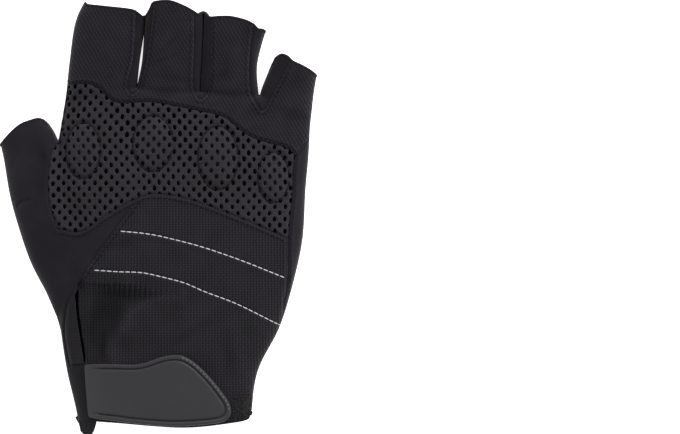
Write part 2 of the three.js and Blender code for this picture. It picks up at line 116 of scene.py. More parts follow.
# Lines seen from above: across, along
LINES = {
    "finger_mouths": [
        (20.0, 100.2), (24.5, 99.9), (26.9, 99.7), (28.4, 99.2), (34.0, 98.7), (41.4, 98.1),
        (43.4, 97.5), (45.2, 96.6), (46.6, 97.2), (47.8, 98.6), (48.8, 99.8), (53.7, 100.1),
        (58.0, 99.0), (60.4, 98.1), (62.7, 97.1), (63.5, 97.4), (64.4, 97.7), (65.4, 97.1),
        (66.5, 96.4), (70.0, 96.5), (73.4, 96.4), (77.8, 95.6), (80.2, 94.7), (81.6, 93.7),
        (84.2, 92.8), (85.9, 85.9), (87.3, 87.1), (89.2, 87.8), (91.0, 87.3), (92.6, 86.2),
        (96.0, 85.0), (99.3, 83.5), (101.5, 82.0), (106.0, 80.0),
    ],
    "thumb_mouth": [
        (-3.0, 64.5), (0.0, 66.8), (6.0, 71.1), (10.5, 72.6), (12.6, 72.9), (13.8, 72.4),
        (14.8, 71.8), (16.5, 71.3),
    ],
    "back_hem": [
        (30.5, 3.1), (37.5, 2.8), (47.0, 2.2), (57.0, 1.75), (65.0, 2.0), (73.0, 2.7),
        (77.5, 3.2), (78.8, 3.9), (79.3, 4.9),
    ],
    "tab_hem": [(23.6, 3.4), (26.4, 0.2), (29.0, 0.1), (30.5, 3.1)],
    "palm_hem": [
        (23.6, 3.4), (27.0, 2.7), (31.0, 3.0), (37.5, 2.8), (47.0, 2.2), (57.0, 1.75),
        (65.0, 2.0), (73.0, 2.7), (77.5, 3.2), (78.8, 3.9), (79.3, 4.9),
    ],
    "net_top": [
        (19.0, 80.5), (29.5, 80.5), (37.0, 76.5), (48.5, 76.5), (63.0, 74.5), (71.0, 73.0),
        (79.5, 68.5), (90.5, 66.0), (93.5, 64.0),
    ],
    "net_left": [
        (17.6, 71.5), (18.0, 67.5), (16.5, 64.0), (15.5, 58.0), (16.5, 52.0), (19.0, 47.2),
    ],
    "net_bottom": [
        (19.0, 47.2), (26.0, 46.6), (34.5, 50.5), (44.5, 54.5), (50.0, 55.2), (56.5, 54.7),
        (64.5, 53.0), (77.0, 49.5), (91.2, 45.0),
    ],
    "side_seam": [
        (100.0, 70.0), (93.5, 64.0), (92.5, 55.0), (91.2, 45.0), (91.0, 36.0), (89.5, 28.0),
        (90.0, 20.0),
    ],
    "back_diagonal": [(44.5, 54.5), (37.0, 47.0), (28.5, 38.5), (24.5, 33.0)],
    "slit": [(24.5, 33.0), (24.5, 29.0), (25.2, 24.5), (27.0, 16.0)],
    "anchor_seam": [(27.0, 16.0), (27.7, 10.0), (29.0, 5.5), (30.5, 3.1)],
    "binding_left": [
        (26.3, 35.3), (23.4, 32.6), (21.6, 30.0), (20.6, 24.0), (21.2, 19.8), (22.3, 15.9),
    ],
    "thumb_fold": [(19.0, 47.2), (21.8, 40.0), (26.3, 35.3)],
    "palm_seam": [
        (2.5, 71.5), (3.5, 64.0), (6.5, 55.5), (12.5, 43.0), (20.5, 33.5), (28.0, 26.5),
        (34.0, 20.0), (39.0, 15.5), (41.5, 11.0), (43.0, 4.5), (43.3, 2.45),
    ],
    "thumb_crease": [(18.6, 67.0), (23.0, 58.0), (26.5, 48.0), (28.5, 36.0), (34.0, 20.0)],
    "stitch_line_upper": [
        (37.6, 46.8), (47.1, 46.1), (55.0, 44.9), (65.1, 42.9), (77.2, 39.8), (91.3, 35.6),
    ],
    "stitch_line_lower": [
        (29.3, 37.8), (37.7, 37.4), (45.0, 37.2), (51.1, 36.3), (58.7, 34.8), (65.1, 32.8),
        (75.6, 29.8), (89.2, 24.7),
    ],
    "crescent_top": [
        (30.5, 75.3), (41.0, 76.0), (52.0, 75.6), (71.0, 73.1), (85.7, 68.8), (94.0, 63.7),
        (97.2, 59.6),
    ],
    "crescent_bottom": [
        (30.5, 75.3), (41.0, 74.2), (52.0, 72.8), (67.7, 69.7), (80.3, 64.4), (89.9, 58.4),
        (96.8, 52.0),
    ],
    "palm_row_inner": [(64.0, 42.0), (65.0, 36.0), (65.2, 30.0), (64.0, 19.5)],
    "palm_row_outer": [(67.5, 42.5), (68.5, 36.0), (68.8, 30.0), (67.6, 19.5)],
    "palm_fold": [(24.0, 64.5), (38.0, 61.8), (50.5, 57.8), (60.0, 50.5)],
    "thumb_mark": [(5.9, 52.6), (7.6, 53.7), (10.0, 54.0)],
    "hollow_edge": [
        (57.0, 31.0), (49.0, 30.6), (43.0, 28.3), (39.5, 24.5), (37.0, 19.5), (36.0, 16.5),
    ],
}

# Closed outlines seen from above
OUTLINES = {
    "index_middle": [
        (43.0, 104.0), (43.0, 98.0), (42.6, 91.0), (42.0, 86.0), (40.7, 82.3), (40.5, 79.6),
        (42.2, 78.4), (44.2, 80.0), (46.4, 86.0), (47.5, 91.0), (48.6, 98.0), (49.0, 104.0),
    ],
    "middle_ring": [
        (61.5, 102.0), (61.4, 89.0), (61.0, 82.0), (61.8, 78.6), (63.7, 77.2), (65.6, 78.6),
        (66.5, 82.0), (66.8, 89.0), (67.0, 102.0),
    ],
    "ring_little": [
        (81.5, 100.0), (79.5, 91.0), (78.8, 84.0), (79.3, 79.0), (81.3, 76.2), (83.5, 74.6),
        (87.0, 79.2), (91.0, 84.8), (94.5, 92.0),
    ],
    "strap": [
        (27.1, 14.6), (27.3, 15.9), (28.6, 16.1), (35.0, 16.2), (43.0, 16.1), (47.1, 16.7),
        (51.4, 17.8), (55.8, 18.3), (58.8, 17.9), (62.4, 16.2), (66.8, 13.0), (70.3, 9.8),
        (72.7, 7.2), (73.3, 5.2), (72.3, 3.4), (68.5, 2.4), (55.8, 1.8), (43.4, 2.4),
        (36.8, 3.0), (30.2, 3.5), (28.6, 3.8), (28.1, 4.8),
    ],
    "heel_pad": [
        (39.0, 59.5), (50.0, 55.5), (57.0, 47.0), (61.0, 39.5), (61.0, 31.5), (56.5, 24.0),
        (49.5, 18.5), (43.0, 16.8), (37.0, 19.5), (30.0, 27.5), (23.0, 35.0), (24.0, 48.5),
        (27.0, 60.0), (32.0, 61.5),
    ],
    "loop_patch": [
        (70.0, 7.6), (76.0, 8.6), (79.1, 8.6), (78.9, 5.6), (77.4, 4.1), (74.0, 3.4),
        (68.0, 2.9), (66.0, 4.4),
    ],
}

# Knuckle pads: centre across and along, half width and half length in mm
KNUCKLES = {
    "index": (26.6, 65.4, 6.8, 10.8),
    "middle": (48.7, 67.0, 7.7, 10.8),
    "ring": (69.2, 63.7, 7.7, 12.3),
    "little": (86.6, 59.2, 6.0, 9.8),
}


# Plan curves


def plan(rows):
    """Rows of per cent to points in mm: share of the size, less half of it, plus a shift."""
    shares = np.asarray(rows, float)[..., :2] / 100 - 0.5
    return shares * (WIDTH, LENGTH) + PLAN_SHIFT


def spot(across, along):
    """One place in per cent as a point in mm."""
    return plan([(across, along)])[0]


NET_CORNER, WEB_TIP, FOLD_END = spot(19.0, 47.2), spot(44.5, 54.5), spot(26.3, 35.3)
STRIP_TOP, STRIP_LOW = spot(93.5, 64.0), spot(91.2, 45.0)


def smooth(points, per_row=24, closed=False):
    """Uniform Catmull-Rom curve through the points."""
    points = np.asarray(points, float)
    if closed:
        padded = np.vstack([points[-1:], points, points[:2]])
    else:
        padded = np.vstack([2 * points[:1] - points[1:2], points, 2 * points[-1:] - points[-2:-1]])
    t = np.linspace(0, 1, per_row, endpoint=False)[None, :, None]
    a, b, c, d = (padded[i:len(padded) - 3 + i, None, :] for i in range(4))
    run = 0.5 * (2 * b + (c - a) * t + (2 * a - 5 * b + 4 * c - d) * t**2
                 + (3 * b - a - 3 * c + d) * t**3)
    run = run.reshape(-1, points.shape[1])
    return run if closed else np.vstack([run, points[-1:]])


def lengths(curve):
    """Length along a curve at each of its points."""
    steps = np.linalg.norm(np.diff(curve, axis=0), axis=1)
    return np.concatenate([[0], np.cumsum(steps)])


def resample(curve, shares):
    """Points of a curve at shares of its length."""
    along = lengths(curve)
    shares = np.asarray(shares) * along[-1]
    return np.stack([np.interp(shares, along, column) for column in curve.T], axis=1)


def x_at(curve, y):
    """x at each y of a curve that rises or falls all along."""
    order = np.argsort(curve[:, 1])
    return np.interp(y, curve[order, 1], curve[order, 0])


def by_height(curve, shares):
    """Points of a curve that rises all along, at shares of its rise."""
    y = curve[0, 1] + np.asarray(shares) * (curve[-1, 1] - curve[0, 1])
    return np.stack([x_at(curve, y), y], axis=1)


def unit(vectors):
    """Vectors with their length brought to one."""
    return vectors / np.maximum(np.linalg.norm(vectors, axis=1, keepdims=True), 1e-9)


def turns_left(ring):
    """Whether a closed ring runs anticlockwise, by the sign of its area."""
    ahead = np.roll(ring, -1, axis=0)
    return np.sum(ring[:, 0] * ahead[:, 1] - ahead[:, 0] * ring[:, 1]) > 0


def spread(line):
    """Shares of a line's points by their way across, with a part of the length added so
    that upright parts have a share of their own."""
    step = np.diff(line, axis=0)
    step = np.abs(step[:, 0]) + 0.3 * np.linalg.norm(step, axis=1)
    total = np.concatenate([[0], np.cumsum(step)])
    return total / total[-1]


def nearest(curve, point):
    return int(np.argmin(np.sum((curve - point) ** 2, axis=1)))


def between(curve, start, stop):
    """The part of a curve from the place nearest start to the place nearest stop."""
    a, b = nearest(curve, start), nearest(curve, stop)
    part = curve[a:b + 1] if a <= b else curve[b:a + 1][::-1]
    return np.vstack([start, part[1:-1], stop])


def joined(*curves):
    """Curves end to end as one."""
    return np.vstack([curves[0]] + [c[1:] for c in curves[1:]])


CURVES = {name: smooth(plan(rows)) for name, rows in LINES.items()}
CLOSED = {name: smooth(plan(rows), closed=True) for name, rows in OUTLINES.items()
          if name in ("strap", "heel_pad", "loop_patch")}
SLOTS = {name: smooth(plan(rows)) for name, rows in OUTLINES.items()
         if name in ("index_middle", "middle_ring", "ring_little")}


class Tube:
    """Flat tube whose sections run from a left to a right edge point."""

    def __init__(self, rows, name):
        dense = smooth(np.asarray(rows, float), 16)
        self.left = plan(dense[:, 0:2])
        self.right = plan(dense[:, 2:4])
        self.over = dense[:, 4] / 100 * BACK_HEIGHT
        self.under = dense[:, 5] / 100 * PALM_DEPTH
        self.name = name
        self.count = len(dense)

    def place(self, points):
        """Section number of each point and its share from the left (-1) to the right (1)
        edge: the section is found by halving the range until the point lies on it."""
        v = np.arange(self.count)
        low = np.zeros(len(points))
        high = np.full(len(points), self.count - 1.0)
        x, y = points[:, 0], points[:, 1]
        for _ in range(15):
            mid = (low + high) / 2
            lx, ly = np.interp(mid, v, self.left[:, 0]), np.interp(mid, v, self.left[:, 1])
            rx, ry = np.interp(mid, v, self.right[:, 0]), np.interp(mid, v, self.right[:, 1])
            above = (rx - lx) * (y - ly) - (ry - ly) * (x - lx) > 0
            low = np.where(above, mid, low)
            high = np.where(above, high, mid)
        reach = (rx - lx) ** 2 + (ry - ly) ** 2
        side = 2 * ((x - lx) * (rx - lx) + (y - ly) * (ry - ly)) / reach - 1
        return mid, side, np.sqrt(reach)

    def heights(self, points):
        """Height over and depth under the side seams: a superellipse across each section,
        drawn in at the ends that lie inside other tubes."""
        v, side, _ = self.place(points)
        share = v / (self.count - 1)
        number = np.arange(self.count)
        inside = np.clip(1 - np.abs(side), 0, 1)
        spread = 1 - inside
        if self.name == "hand":
            end = np.clip(distance_past_cap(points) / CAP_ROUND, 0, 1)
            ends = (1 - (1 - end) ** 2.4) ** (1 / 2.4)
        else:
            start = np.clip(share / 0.3, 0, 1)
            ends = start * start * (3 - 2 * start)
        out = []
        for heights, p in ((self.over, BACK_ROUNDNESS), (self.under, PALM_ROUNDNESS)):
            profile = np.clip(1 - spread ** p, 0, 1) ** (1 / p)
            out.append(np.interp(v, number, heights) * profile * ends)
        return out


def distance_past_cap(points):
    """Distance in mm from points up to the line across the hand's finger end, and less
    than none beyond it."""
    left, right = plan([TUBES["hand"][-1][0:2]])[0], plan([TUBES["hand"][-1][2:4]])[0]
    step = (right - left) / np.linalg.norm(right - left)
    return -(step[0] * (points[:, 1] - left[1]) - step[1] * (points[:, 0] - left[0]))


BODIES = {name: Tube(rows, name) for name, rows in TUBES.items()}


def base_heights(points):
    """Height over and depth under the seams of hand, fingers and thumb together: the
    seventh root of the sum of seventh powers, a smooth largest value."""
    over = np.zeros(len(points))
    under = np.zeros(len(points))
    for tube in BODIES.values():
        up, down = tube.heights(points)
        over += up ** BLEND
        under += down ** BLEND
    return over ** (1 / BLEND), under ** (1 / BLEND)


def distance_to(points, curve, stride=3):
    """Distance from each point to a curve of straight steps."""
    whole = (len(curve) - 1) % stride == 0
    thin = curve[::stride] if whole else np.vstack([curve[::stride], curve[-1:]])
    a, b = thin[:-1], thin[1:]
    step = b - a
    size = np.maximum(np.sum(step * step, axis=1), 1e-9)
    best = np.full(len(points), 1e9)
    for start in range(0, len(points), 20000):
        part = points[start:start + 20000, None, :] - a[None]
        t = np.clip(np.sum(part * step[None], axis=2) / size, 0, 1)
        gap = part - t[..., None] * step[None]
        best[start:start + 20000] = np.sqrt(np.min(np.sum(gap * gap, axis=2), axis=1))
    return best


def edge_x(tubes, y, side):
    """Outermost edge of several tubes at each y, on the left (-1) or the right (1)."""
    edges = [BODIES[name].left if side < 0 else BODIES[name].right for name in tubes]
    found = [np.interp(y, edge[:, 1], edge[:, 0], left=np.nan, right=np.nan) for edge in edges]
    return np.nanmin(found, axis=0) if side < 0 else np.nanmax(found, axis=0)


def edge_curve(tubes, side, high, low, count=240):
    """Outline of several tubes on one side, from a high to a low share of the length."""
    y = np.linspace(spot(0, high)[1], spot(0, low)[1], count)
    return np.stack([edge_x(tubes, y, side), y], axis=1)


def first_zero(curve, gap):
    """Point of a curve where a value given at its points first changes its sign."""
    place = int(np.argmax(np.sign(gap[:-1]) != np.sign(gap[1:])))
    share = gap[place] / (gap[place] - gap[place + 1])
    return curve[place] + share * (curve[place + 1] - curve[place])


def crossing(curve, other):
    """First point of a curve that lies on another, which is single-valued across."""
    order = np.argsort(other[:, 0])
    gap = curve[:, 1] - np.interp(curve[:, 0], other[order, 0], other[order, 1])
    return first_zero(curve, gap)


def bell(distance, width):
    return np.exp(-(distance / width) ** 2)


def softened(curve, reach, level):
    """Curve whose points are averaged across with those around them near one level."""
    padded = np.pad(curve[:, 0], reach, mode="edge")
    x = np.convolve(padded, np.ones(2 * reach + 1) / (2 * reach + 1), "valid")
    share = bell(curve[:, 1] - spot(0, level)[1], 7.0)
    share[[0, -1]] = 0
    return np.stack([curve[:, 0] + share * (x - curve[:, 0]), curve[:, 1]], axis=1)


MOUTHS = CURVES["finger_mouths"]
INDEX_SIDE = softened(edge_curve(["index", "hand"], -1, 101, 66), 8, 76.0)
LITTLE_SIDE = softened(edge_curve(["little", "hand"], 1, 84.9, -1), 5, 74.0)
THUMB_OUTER = softened(edge_curve(["thumb", "hand"], -1, 68, -1), 8, 25.5)
THUMB_INNER = BODIES["thumb"].right[::-1]

# Point where the thumb's inner edge meets the hand's edge
CROTCH = first_zero(THUMB_INNER, THUMB_INNER[:, 0] - x_at(BODIES["hand"].left, THUMB_INNER[:, 1]))


def slot_edges(thumbward, littleward):
    """Edge of the slot between two fingers: down one finger, over the crotch, up the other."""
    down = BODIES[thumbward].right[::-1]
    up = BODIES[littleward].left
    first, last = crossing(down, MOUTHS), crossing(up[::-1], MOUTHS)
    low, high = first_zero(down, distance_past_cap(down)), first_zero(up, distance_past_cap(up))
    left = between(down, first, low)
    right = between(up, high, last)
    return joined(left, np.linspace(low, high, 5), right)


SLOT_FINGERS = {
    "index_middle": ("index", "middle"),
    "middle_ring": ("middle", "ring"),
    "ring_little": ("ring", "little"),
}
SLOT_EDGES = {name: slot_edges(*pair) for name, pair in SLOT_FINGERS.items()}


def slot_outline(name):
    """Seam line round a slot, from mouth to mouth."""
    curve = SLOTS[name]
    half = len(curve) // 2
    down, up = curve[:half], curve[half:]
    first, last = crossing(down, MOUTHS), crossing(up[::-1], MOUTHS)
    return np.vstack([first, curve[nearest(down, first) + 1:half + nearest(up, last)], last])


SLOT_SEAMS = {name: slot_outline(name) for name in SLOTS}


# Heights of the two sides


def sizes():
    return bpy.context.scene.mitt_sizes


def colours():
    return bpy.context.scene.mitt_colours


BACK_SEAMS = ["net_top", "net_left", "net_bottom", "side_seam", "back_diagonal",
              "binding_left"]
PALM_SEAMS = ["palm_seam"]


def seam_shape(points, curves):
    """Two soft ridges with a groove between them along each seam."""
    depth = sizes().seam_groove / MM
    total = np.zeros(len(points))
    for curve in curves:
        gap = distance_to(points, curve)
        total = total + 0.45 * depth * bell(gap - 1.25, 0.7) - depth * bell(gap, 0.5)
    return total


def waves(points, pitch, seed):
    """Sum of five slow sine waves in fixed directions, about -1 to 1."""
    total = np.zeros(len(points))
    for k in range(5):
        angle = seed + 2.4 * k
        size = pitch * (1 + 0.37 * k)
        phase = (points[:, 0] * math.cos(angle) + points[:, 1] * math.sin(angle)) / size
        total += np.sin(2 * math.pi * phase + 1.7 * k * seed) / (1 + 0.5 * k)
    return total / 2.6


def oval_share(points, name, grow=0.0):
    """Share of the way from a knuckle pad's centre to its edge."""
    across, along, half_width, half_length = KNUCKLES[name]
    gap = (points - spot(across, along)) / (half_width + grow, half_length + grow)
    return np.sqrt(np.sum(gap * gap, axis=1))


# The mitt's left and lower edge in the photo, and how many pixels one per cent has each way
PHOTO_LEFT, PHOTO_LOW = 1.5, 432
PIXELS_ACROSS, PIXELS_ALONG = 3.155, 4.3


def pixel(x, y):
    """Place of a photo pixel in per cent of the size."""
    return ((x - PHOTO_LEFT) / PIXELS_ACROSS, (PHOTO_LOW - y) / PIXELS_ALONG)


def blob(points, centre, half_across, half_along, turn=0.0):
    """Bell-shaped spot round a place, turned by an angle."""
    gap = points - spot(*centre)
    c, s = math.cos(turn), math.sin(turn)
    a = (gap[:, 0] * c + gap[:, 1] * s) / half_across
    b = (-gap[:, 0] * s + gap[:, 1] * c) / half_along
    return np.exp(-a * a - b * b)


# These folds also set the painted shade: the colour is darker where they sink and lighter where they
# rise.
def back_folds(points):
    """Folds of the back: pleats under the lower row of stitches, the hollow beside the
    slit, and soft creases of the fingers, the thumb and its root."""
    x, y = points[:, 0], points[:, 1]
    lower, edge = CURVES["stitch_line_lower"], CURVES["hollow_edge"]
    below = np.interp(x, lower[:, 0], lower[:, 1]) - y
    window = blob(points, pixel(136, 296), 16.0, 60.0)
    z = 0.6 * window * np.cos(2 * math.pi * x / 2.0 + 0.5 * np.sin(y / 3)) * bell(below - 6.8, 3.2)
    z -= 1.1 * blob(points, pixel(132, 297), 15.0, 3.2, -0.1)
    left_of = x < x_at(edge, y)
    past = np.where(left_of & (below > 5), distance_to(points, edge), 0)
    z += -3.6 * (1 - np.exp(-(past / 3.2) ** 2)) * blob(points, pixel(108, 322), 9.5, 11.5)
    z += 0.8 * bell(distance_to(points, edge) * np.where(left_of, 1.8, 0.7), 2.4)
    for place, across, along, turn, rise in (
            ((104, 346), 1.3, 5.0, 0.0, -1.6), ((112, 346), 1.8, 5.5, 0.0, 1.0),
            ((91, 316), 2.0, 9.0, -0.05, 1.1), ((124, 343), 3.0, 4.0, 0.2, -0.8),
            ((95, 268), 2.5, 2.5, 0.0, 0.6), ((125, 245), 7.0, 2.2, 0.2, -0.5),
            ((205, 318), 12.0, 3.0, 0.7, 0.5), ((190, 335), 10.0, 2.2, 0.6, -0.5),
            ((238, 350), 2.6, 11.0, 0.15, 0.5), ((228, 356), 2.2, 9.0, 0.2, -0.4),
            ((141, 28), 2.2, 5.0, 0.0, -0.8), ((112, 48), 2.2, 10.0, 0.05, 0.5),
            ((172, 46), 6.0, 1.4, 0.8, -0.6), ((166, 62), 4.0, 1.2, 0.4, -0.5),
            ((186, 36), 5.0, 1.6, 0.9, 0.5), ((178, 82), 7.0, 1.8, -0.2, -0.5),
            ((236, 60), 1.8, 8.0, -0.1, 0.5), ((224, 78), 5.0, 1.6, 0.5, -0.45),
            ((258, 112), 9.0, 1.8, 0.7, -0.5), ((288, 106), 8.0, 1.8, 0.9, 0.45),
            ((45, 158), 2.2, 6.0, 0.3, -1.1), ((43, 182), 2.4, 8.0, 0.0, -0.8),
            ((54, 178), 2.0, 12.0, 0.0, 0.5), ((22, 172), 3.0, 9.0, -0.2, 0.5),
            ((66, 246), 9.0, 8.0, 0.0, -0.8), ((80, 283), 3.0, 6.0, 0.3, -0.8)):
        z += rise * blob(points, pixel(*place), across, along, turn)
    return z - 0.6 * bell(distance_to(points, CURVES["thumb_mark"]), 0.5)


def back_painted_shade(points):
    """Painted shade from 0 to 1 laid over the cloth's colour: darker in the hollows, lighter
    on the folds, plain on the underside."""
    shade = 0.5 + 0.2 * back_folds(points[:, :2])
    return np.where(points[:, 2] > SEAM_HEIGHT - 0.5, np.clip(shade, 0.12, 0.85), 0.5)


def back_details(points):
    """Seams, knuckle ovals, folds and slow waves."""
    rise = sizes().knuckle_rise / MM
    z = seam_shape(points, [CURVES[n] for n in BACK_SEAMS] + list(SLOT_SEAMS.values()))
    for name, (_, _, half_width, _) in KNUCKLES.items():
        q = oval_share(points, name)
        z += rise * np.clip(1 - q * q, 0, 1) ** 0.6 - 0.55 * rise * bell((q - 1) * half_width, 0.7)
    for name in ("stitch_line_upper", "stitch_line_lower"):
        gap = distance_to(points, CURVES[name])
        z += 0.14 * bell(gap - 1.1, 0.7) - 0.22 * bell(gap, 0.45)
    return z + back_folds(points) + 0.22 * waves(points, 26, 0.7) + 0.1 * waves(points, 9, 2.1)


def palm_details(points):
    """Seams, the palm's crease, sewn rows and slow waves, counted downwards."""
    z = seam_shape(points, [CURVES[n] for n in PALM_SEAMS] + list(SLOT_SEAMS.values()))
    z -= 0.7 * bell(distance_to(points, CURVES["thumb_crease"]), 1.6)
    for name in ("palm_row_inner", "palm_row_outer"):
        z -= 0.2 * bell(distance_to(points, CURVES[name]), 0.5)
    z -= 0.35 * bell(distance_to(points, CURVES["palm_fold"]), 1.5)
    return z + 0.12 * waves(points, 30, 1.3)


def back_z(points):
    """Outer height of the back at each point."""
    over, _ = base_heights(points)
    fade = np.clip(over / 3.0, 0, 1)
    return SEAM_HEIGHT + np.maximum(over + back_details(points) * fade, 0)


def palm_z(points):
    """Outer height of the palm's underside at each point."""
    _, under = base_heights(points)
    fade = np.clip(under / 2.5, 0, 1)
    return np.maximum(SEAM_HEIGHT - np.maximum(under + palm_details(points) * fade, 0), 0.9)


# Meshes


def eased(count, low=False, high=False):
    """Shares from 0 to 1, drawn closer together at either end where asked."""
    t = np.linspace(0, 1, count)
    if low and high:
        return (1 - np.cos(math.pi * t)) / 2
    if low:
        return 1 - np.cos(math.pi / 2 * t)
    if high:
        return np.sin(math.pi / 2 * t)
    return t


def patch(bottom, top, left, right, u, v, reach=1.0):
    """Surface between four edges: straight rows from the left to the right edge, then the
    lower and upper rows' own departure from straight is added, fading out over a share of
    the height. With a reach of one and straight fading this is a Coons patch. Edges are
    given as one point for each share."""
    uu, vv = u[None, :, None], v[:, None, None]
    power = 1.0 if reach == 1.0 else 1.6
    low = np.clip(1 - vv / reach, 0, 1) ** power
    high = np.clip(1 - (1 - vv) / reach, 0, 1) ** power
    rows = (1 - uu) * left[:, None] + uu * right[:, None]
    low_bend = bottom - (1 - u[:, None]) * bottom[0] - u[:, None] * bottom[-1]
    high_bend = top - (1 - u[:, None]) * top[0] - u[:, None] * top[-1]
    return rows + low * low_bend[None] + high * high_bend[None]


def patch_of(bottom, top, left, right, u, v):
    """Coons patch between four curves, each resampled at the shares."""
    return patch(resample(bottom, u), resample(top, u), resample(left, v), resample(right, v),
                 u, v)


def lifted(grid, side, flat_columns=(), flat_rows=()):
    """Plan grid to points in space on the back (1) or the palm (-1). The given columns and
    rows lie on the mitt's outline and keep the height of the side seams."""
    shape = grid.shape[:2]
    flat = grid.reshape(-1, 2)
    z = (back_z(flat) if side > 0 else palm_z(flat)).reshape(shape)
    for column in flat_columns:
        z[:, column] = SEAM_HEIGHT
    for row in flat_rows:
        z[row] = SEAM_HEIGHT
    return np.concatenate([grid, z[..., None]], axis=2)


def grid_faces(rows, columns, start=0, flip=False):
    """Quads of a grid, one for each cell."""
    number = np.arange(rows * columns).reshape(rows, columns) + start
    faces = np.stack([number[:-1, :-1], number[:-1, 1:], number[1:, 1:], number[1:, :-1]], axis=2)
    faces = faces.reshape(-1, 4)
    return faces[:, ::-1] if flip else faces


def gather(grids, flip=False):
    """Grids of points as one list of points and quads, meeting points made one."""
    points, faces, start = [], [], 0
    for grid in grids:
        points.append(grid.reshape(-1, 3))
        faces.append(grid_faces(grid.shape[0], grid.shape[1], start, flip))
        start += grid.shape[0] * grid.shape[1]
    return weld(np.vstack(points), np.vstack(faces))


def weld(points, faces, grain=0.004):
    """Points that lie together are made one, and faces that close up are left out."""
    keys = np.round(points / grain).astype(np.int64)
    _, first, number = np.unique(keys, axis=0, return_index=True, return_inverse=True)
    number = number.reshape(-1)
    return points[first], number[faces]


def make_mesh(name, points, faces, material, thickness=0.0, shade=None):
    """Object at the origin with its points in metres; quads that have closed up to
    triangles lose their doubled corner. A function gives each point its painted shade."""
    faces = np.asarray(faces)
    if faces.shape[1] == 4:
        same = faces == np.roll(faces, 1, axis=1)
        doubled = same.sum(axis=1)
        crossed = (faces[:, 0] == faces[:, 2]) | (faces[:, 1] == faces[:, 3])
        quads = faces[(doubled == 0) & ~crossed]
        once = faces[(doubled == 1) & ~crossed]
        keep = ~(once == np.roll(once, 1, axis=1))
        triangles = once[keep].reshape(-1, 3)
    else:
        quads, triangles = np.zeros((0, 4), int), faces
    name += "_look"
    mesh = bpy.data.meshes.new(name)
    mesh.vertices.add(len(points))
    mesh.vertices.foreach_set("co", (np.asarray(points) * MM).astype(np.float32).ravel())
    loops = np.concatenate([quads.ravel(), triangles.ravel()]).astype(np.int32)
    totals = np.concatenate([np.full(len(quads), 4), np.full(len(triangles), 3)])
    starts = np.concatenate([[0], np.cumsum(totals)[:-1]])
    mesh.loops.add(len(loops))
    mesh.loops.foreach_set("vertex_index", loops)
    mesh.polygons.add(len(totals))
    mesh.polygons.foreach_set("loop_start", starts.astype(np.int32))
    mesh.update(calc_edges=True)
    mesh.validate()
    mesh.polygons.foreach_set("use_smooth", np.full(len(mesh.polygons), True))
    # Painted shade of the folds, stored on the points for the materials.
    if shade:
        values = shade(np.asarray(points)).astype(np.float32)
        mesh.attributes.new("shade", "FLOAT", "POINT").data.foreach_set("value", values)
    made = bpy.data.objects.new(name, mesh)
    bpy.context.scene.collection.objects.link(made)
    mesh.materials.append(material)
    if thickness:
        wall = made.modifiers.new("Wall", "SOLIDIFY")
        wall.thickness = thickness * MM
        wall.offset = -1.0
        wall.use_rim = True
    return made


def make_piece(name, shape, finish, thickness=0.0, shade=None, slot=None):
    """Mesh that rides with the mitt and stands for the node of its name. A
    piece with a slot of its own, such as a row of stitches, stands for no node."""
    made = make_mesh(name, *shape, material(finish), thickness, shade)
    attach(made, "root")
    if slot is None:
        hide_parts(name)
    return made


def cloth_wall():
    return sizes().cloth_wall / MM


def joined_parts(parts):
    """Lists of points and faces as one list."""
    points, faces, start = [], [], 0
    for some_points, some_faces in parts:
        points.append(some_points)
        faces.append(some_faces + start)
        start += len(some_points)
    return np.vstack(points), np.vstack(faces)


def frames_along(path):
    """Unit direction at each point of a path and two more, square to it and each other,
    the second as near to upright as it goes."""
    ahead = unit(np.gradient(path, axis=0))
    side = unit(np.cross(ahead, (0.0, 0.0, 1.0)))
    return ahead, side, np.cross(side, ahead)


def cord_mesh(path, radius, sides):
    """Round bead along a path with closed, rounded ends."""
    ahead, side, up = frames_along(path)
    angle = np.linspace(0, 2 * math.pi, sides, endpoint=False)[None, :, None]
    ring = (np.cos(angle) * side[:, None] + np.sin(angle) * up[:, None]) * radius
    tube = path[:, None] + ring
    caps = []
    for end, sign in ((0, -1), (-1, 1)):
        rings = [path[end] + sign * ahead[end] * radius * math.sin(a)
                 + ring[end] * math.cos(a) for a in (math.pi / 6, math.pi / 3, math.pi / 2)]
        caps.append(rings[::-1] if end == 0 else rings)
    rows = np.concatenate([np.array(caps[0]), tube, np.array(caps[1])])
    rows = np.concatenate([rows, rows[:, :1]], axis=1)
    return weld(rows.reshape(-1, 3), grid_faces(len(rows), sides + 1), 1e-4)


def ring_mesh(path, radius, sides=8):
    """Round bead round a closed path."""
    ahead = unit(np.roll(path, -1, axis=0) - np.roll(path, 1, axis=0))
    out = path - path.mean(axis=0)
    out = unit(out - ahead * np.sum(out * ahead, axis=1, keepdims=True))
    other = np.cross(out, ahead)
    angle = np.linspace(0, 2 * math.pi, sides + 1)[None, :, None]
    rows = path[:, None] + radius * (np.cos(angle) * out[:, None] + np.sin(angle) * other[:, None])
    rows = np.concatenate([rows, rows[:1]])
    return weld(rows.reshape(-1, 3), grid_faces(len(rows), sides + 1), 1e-4)


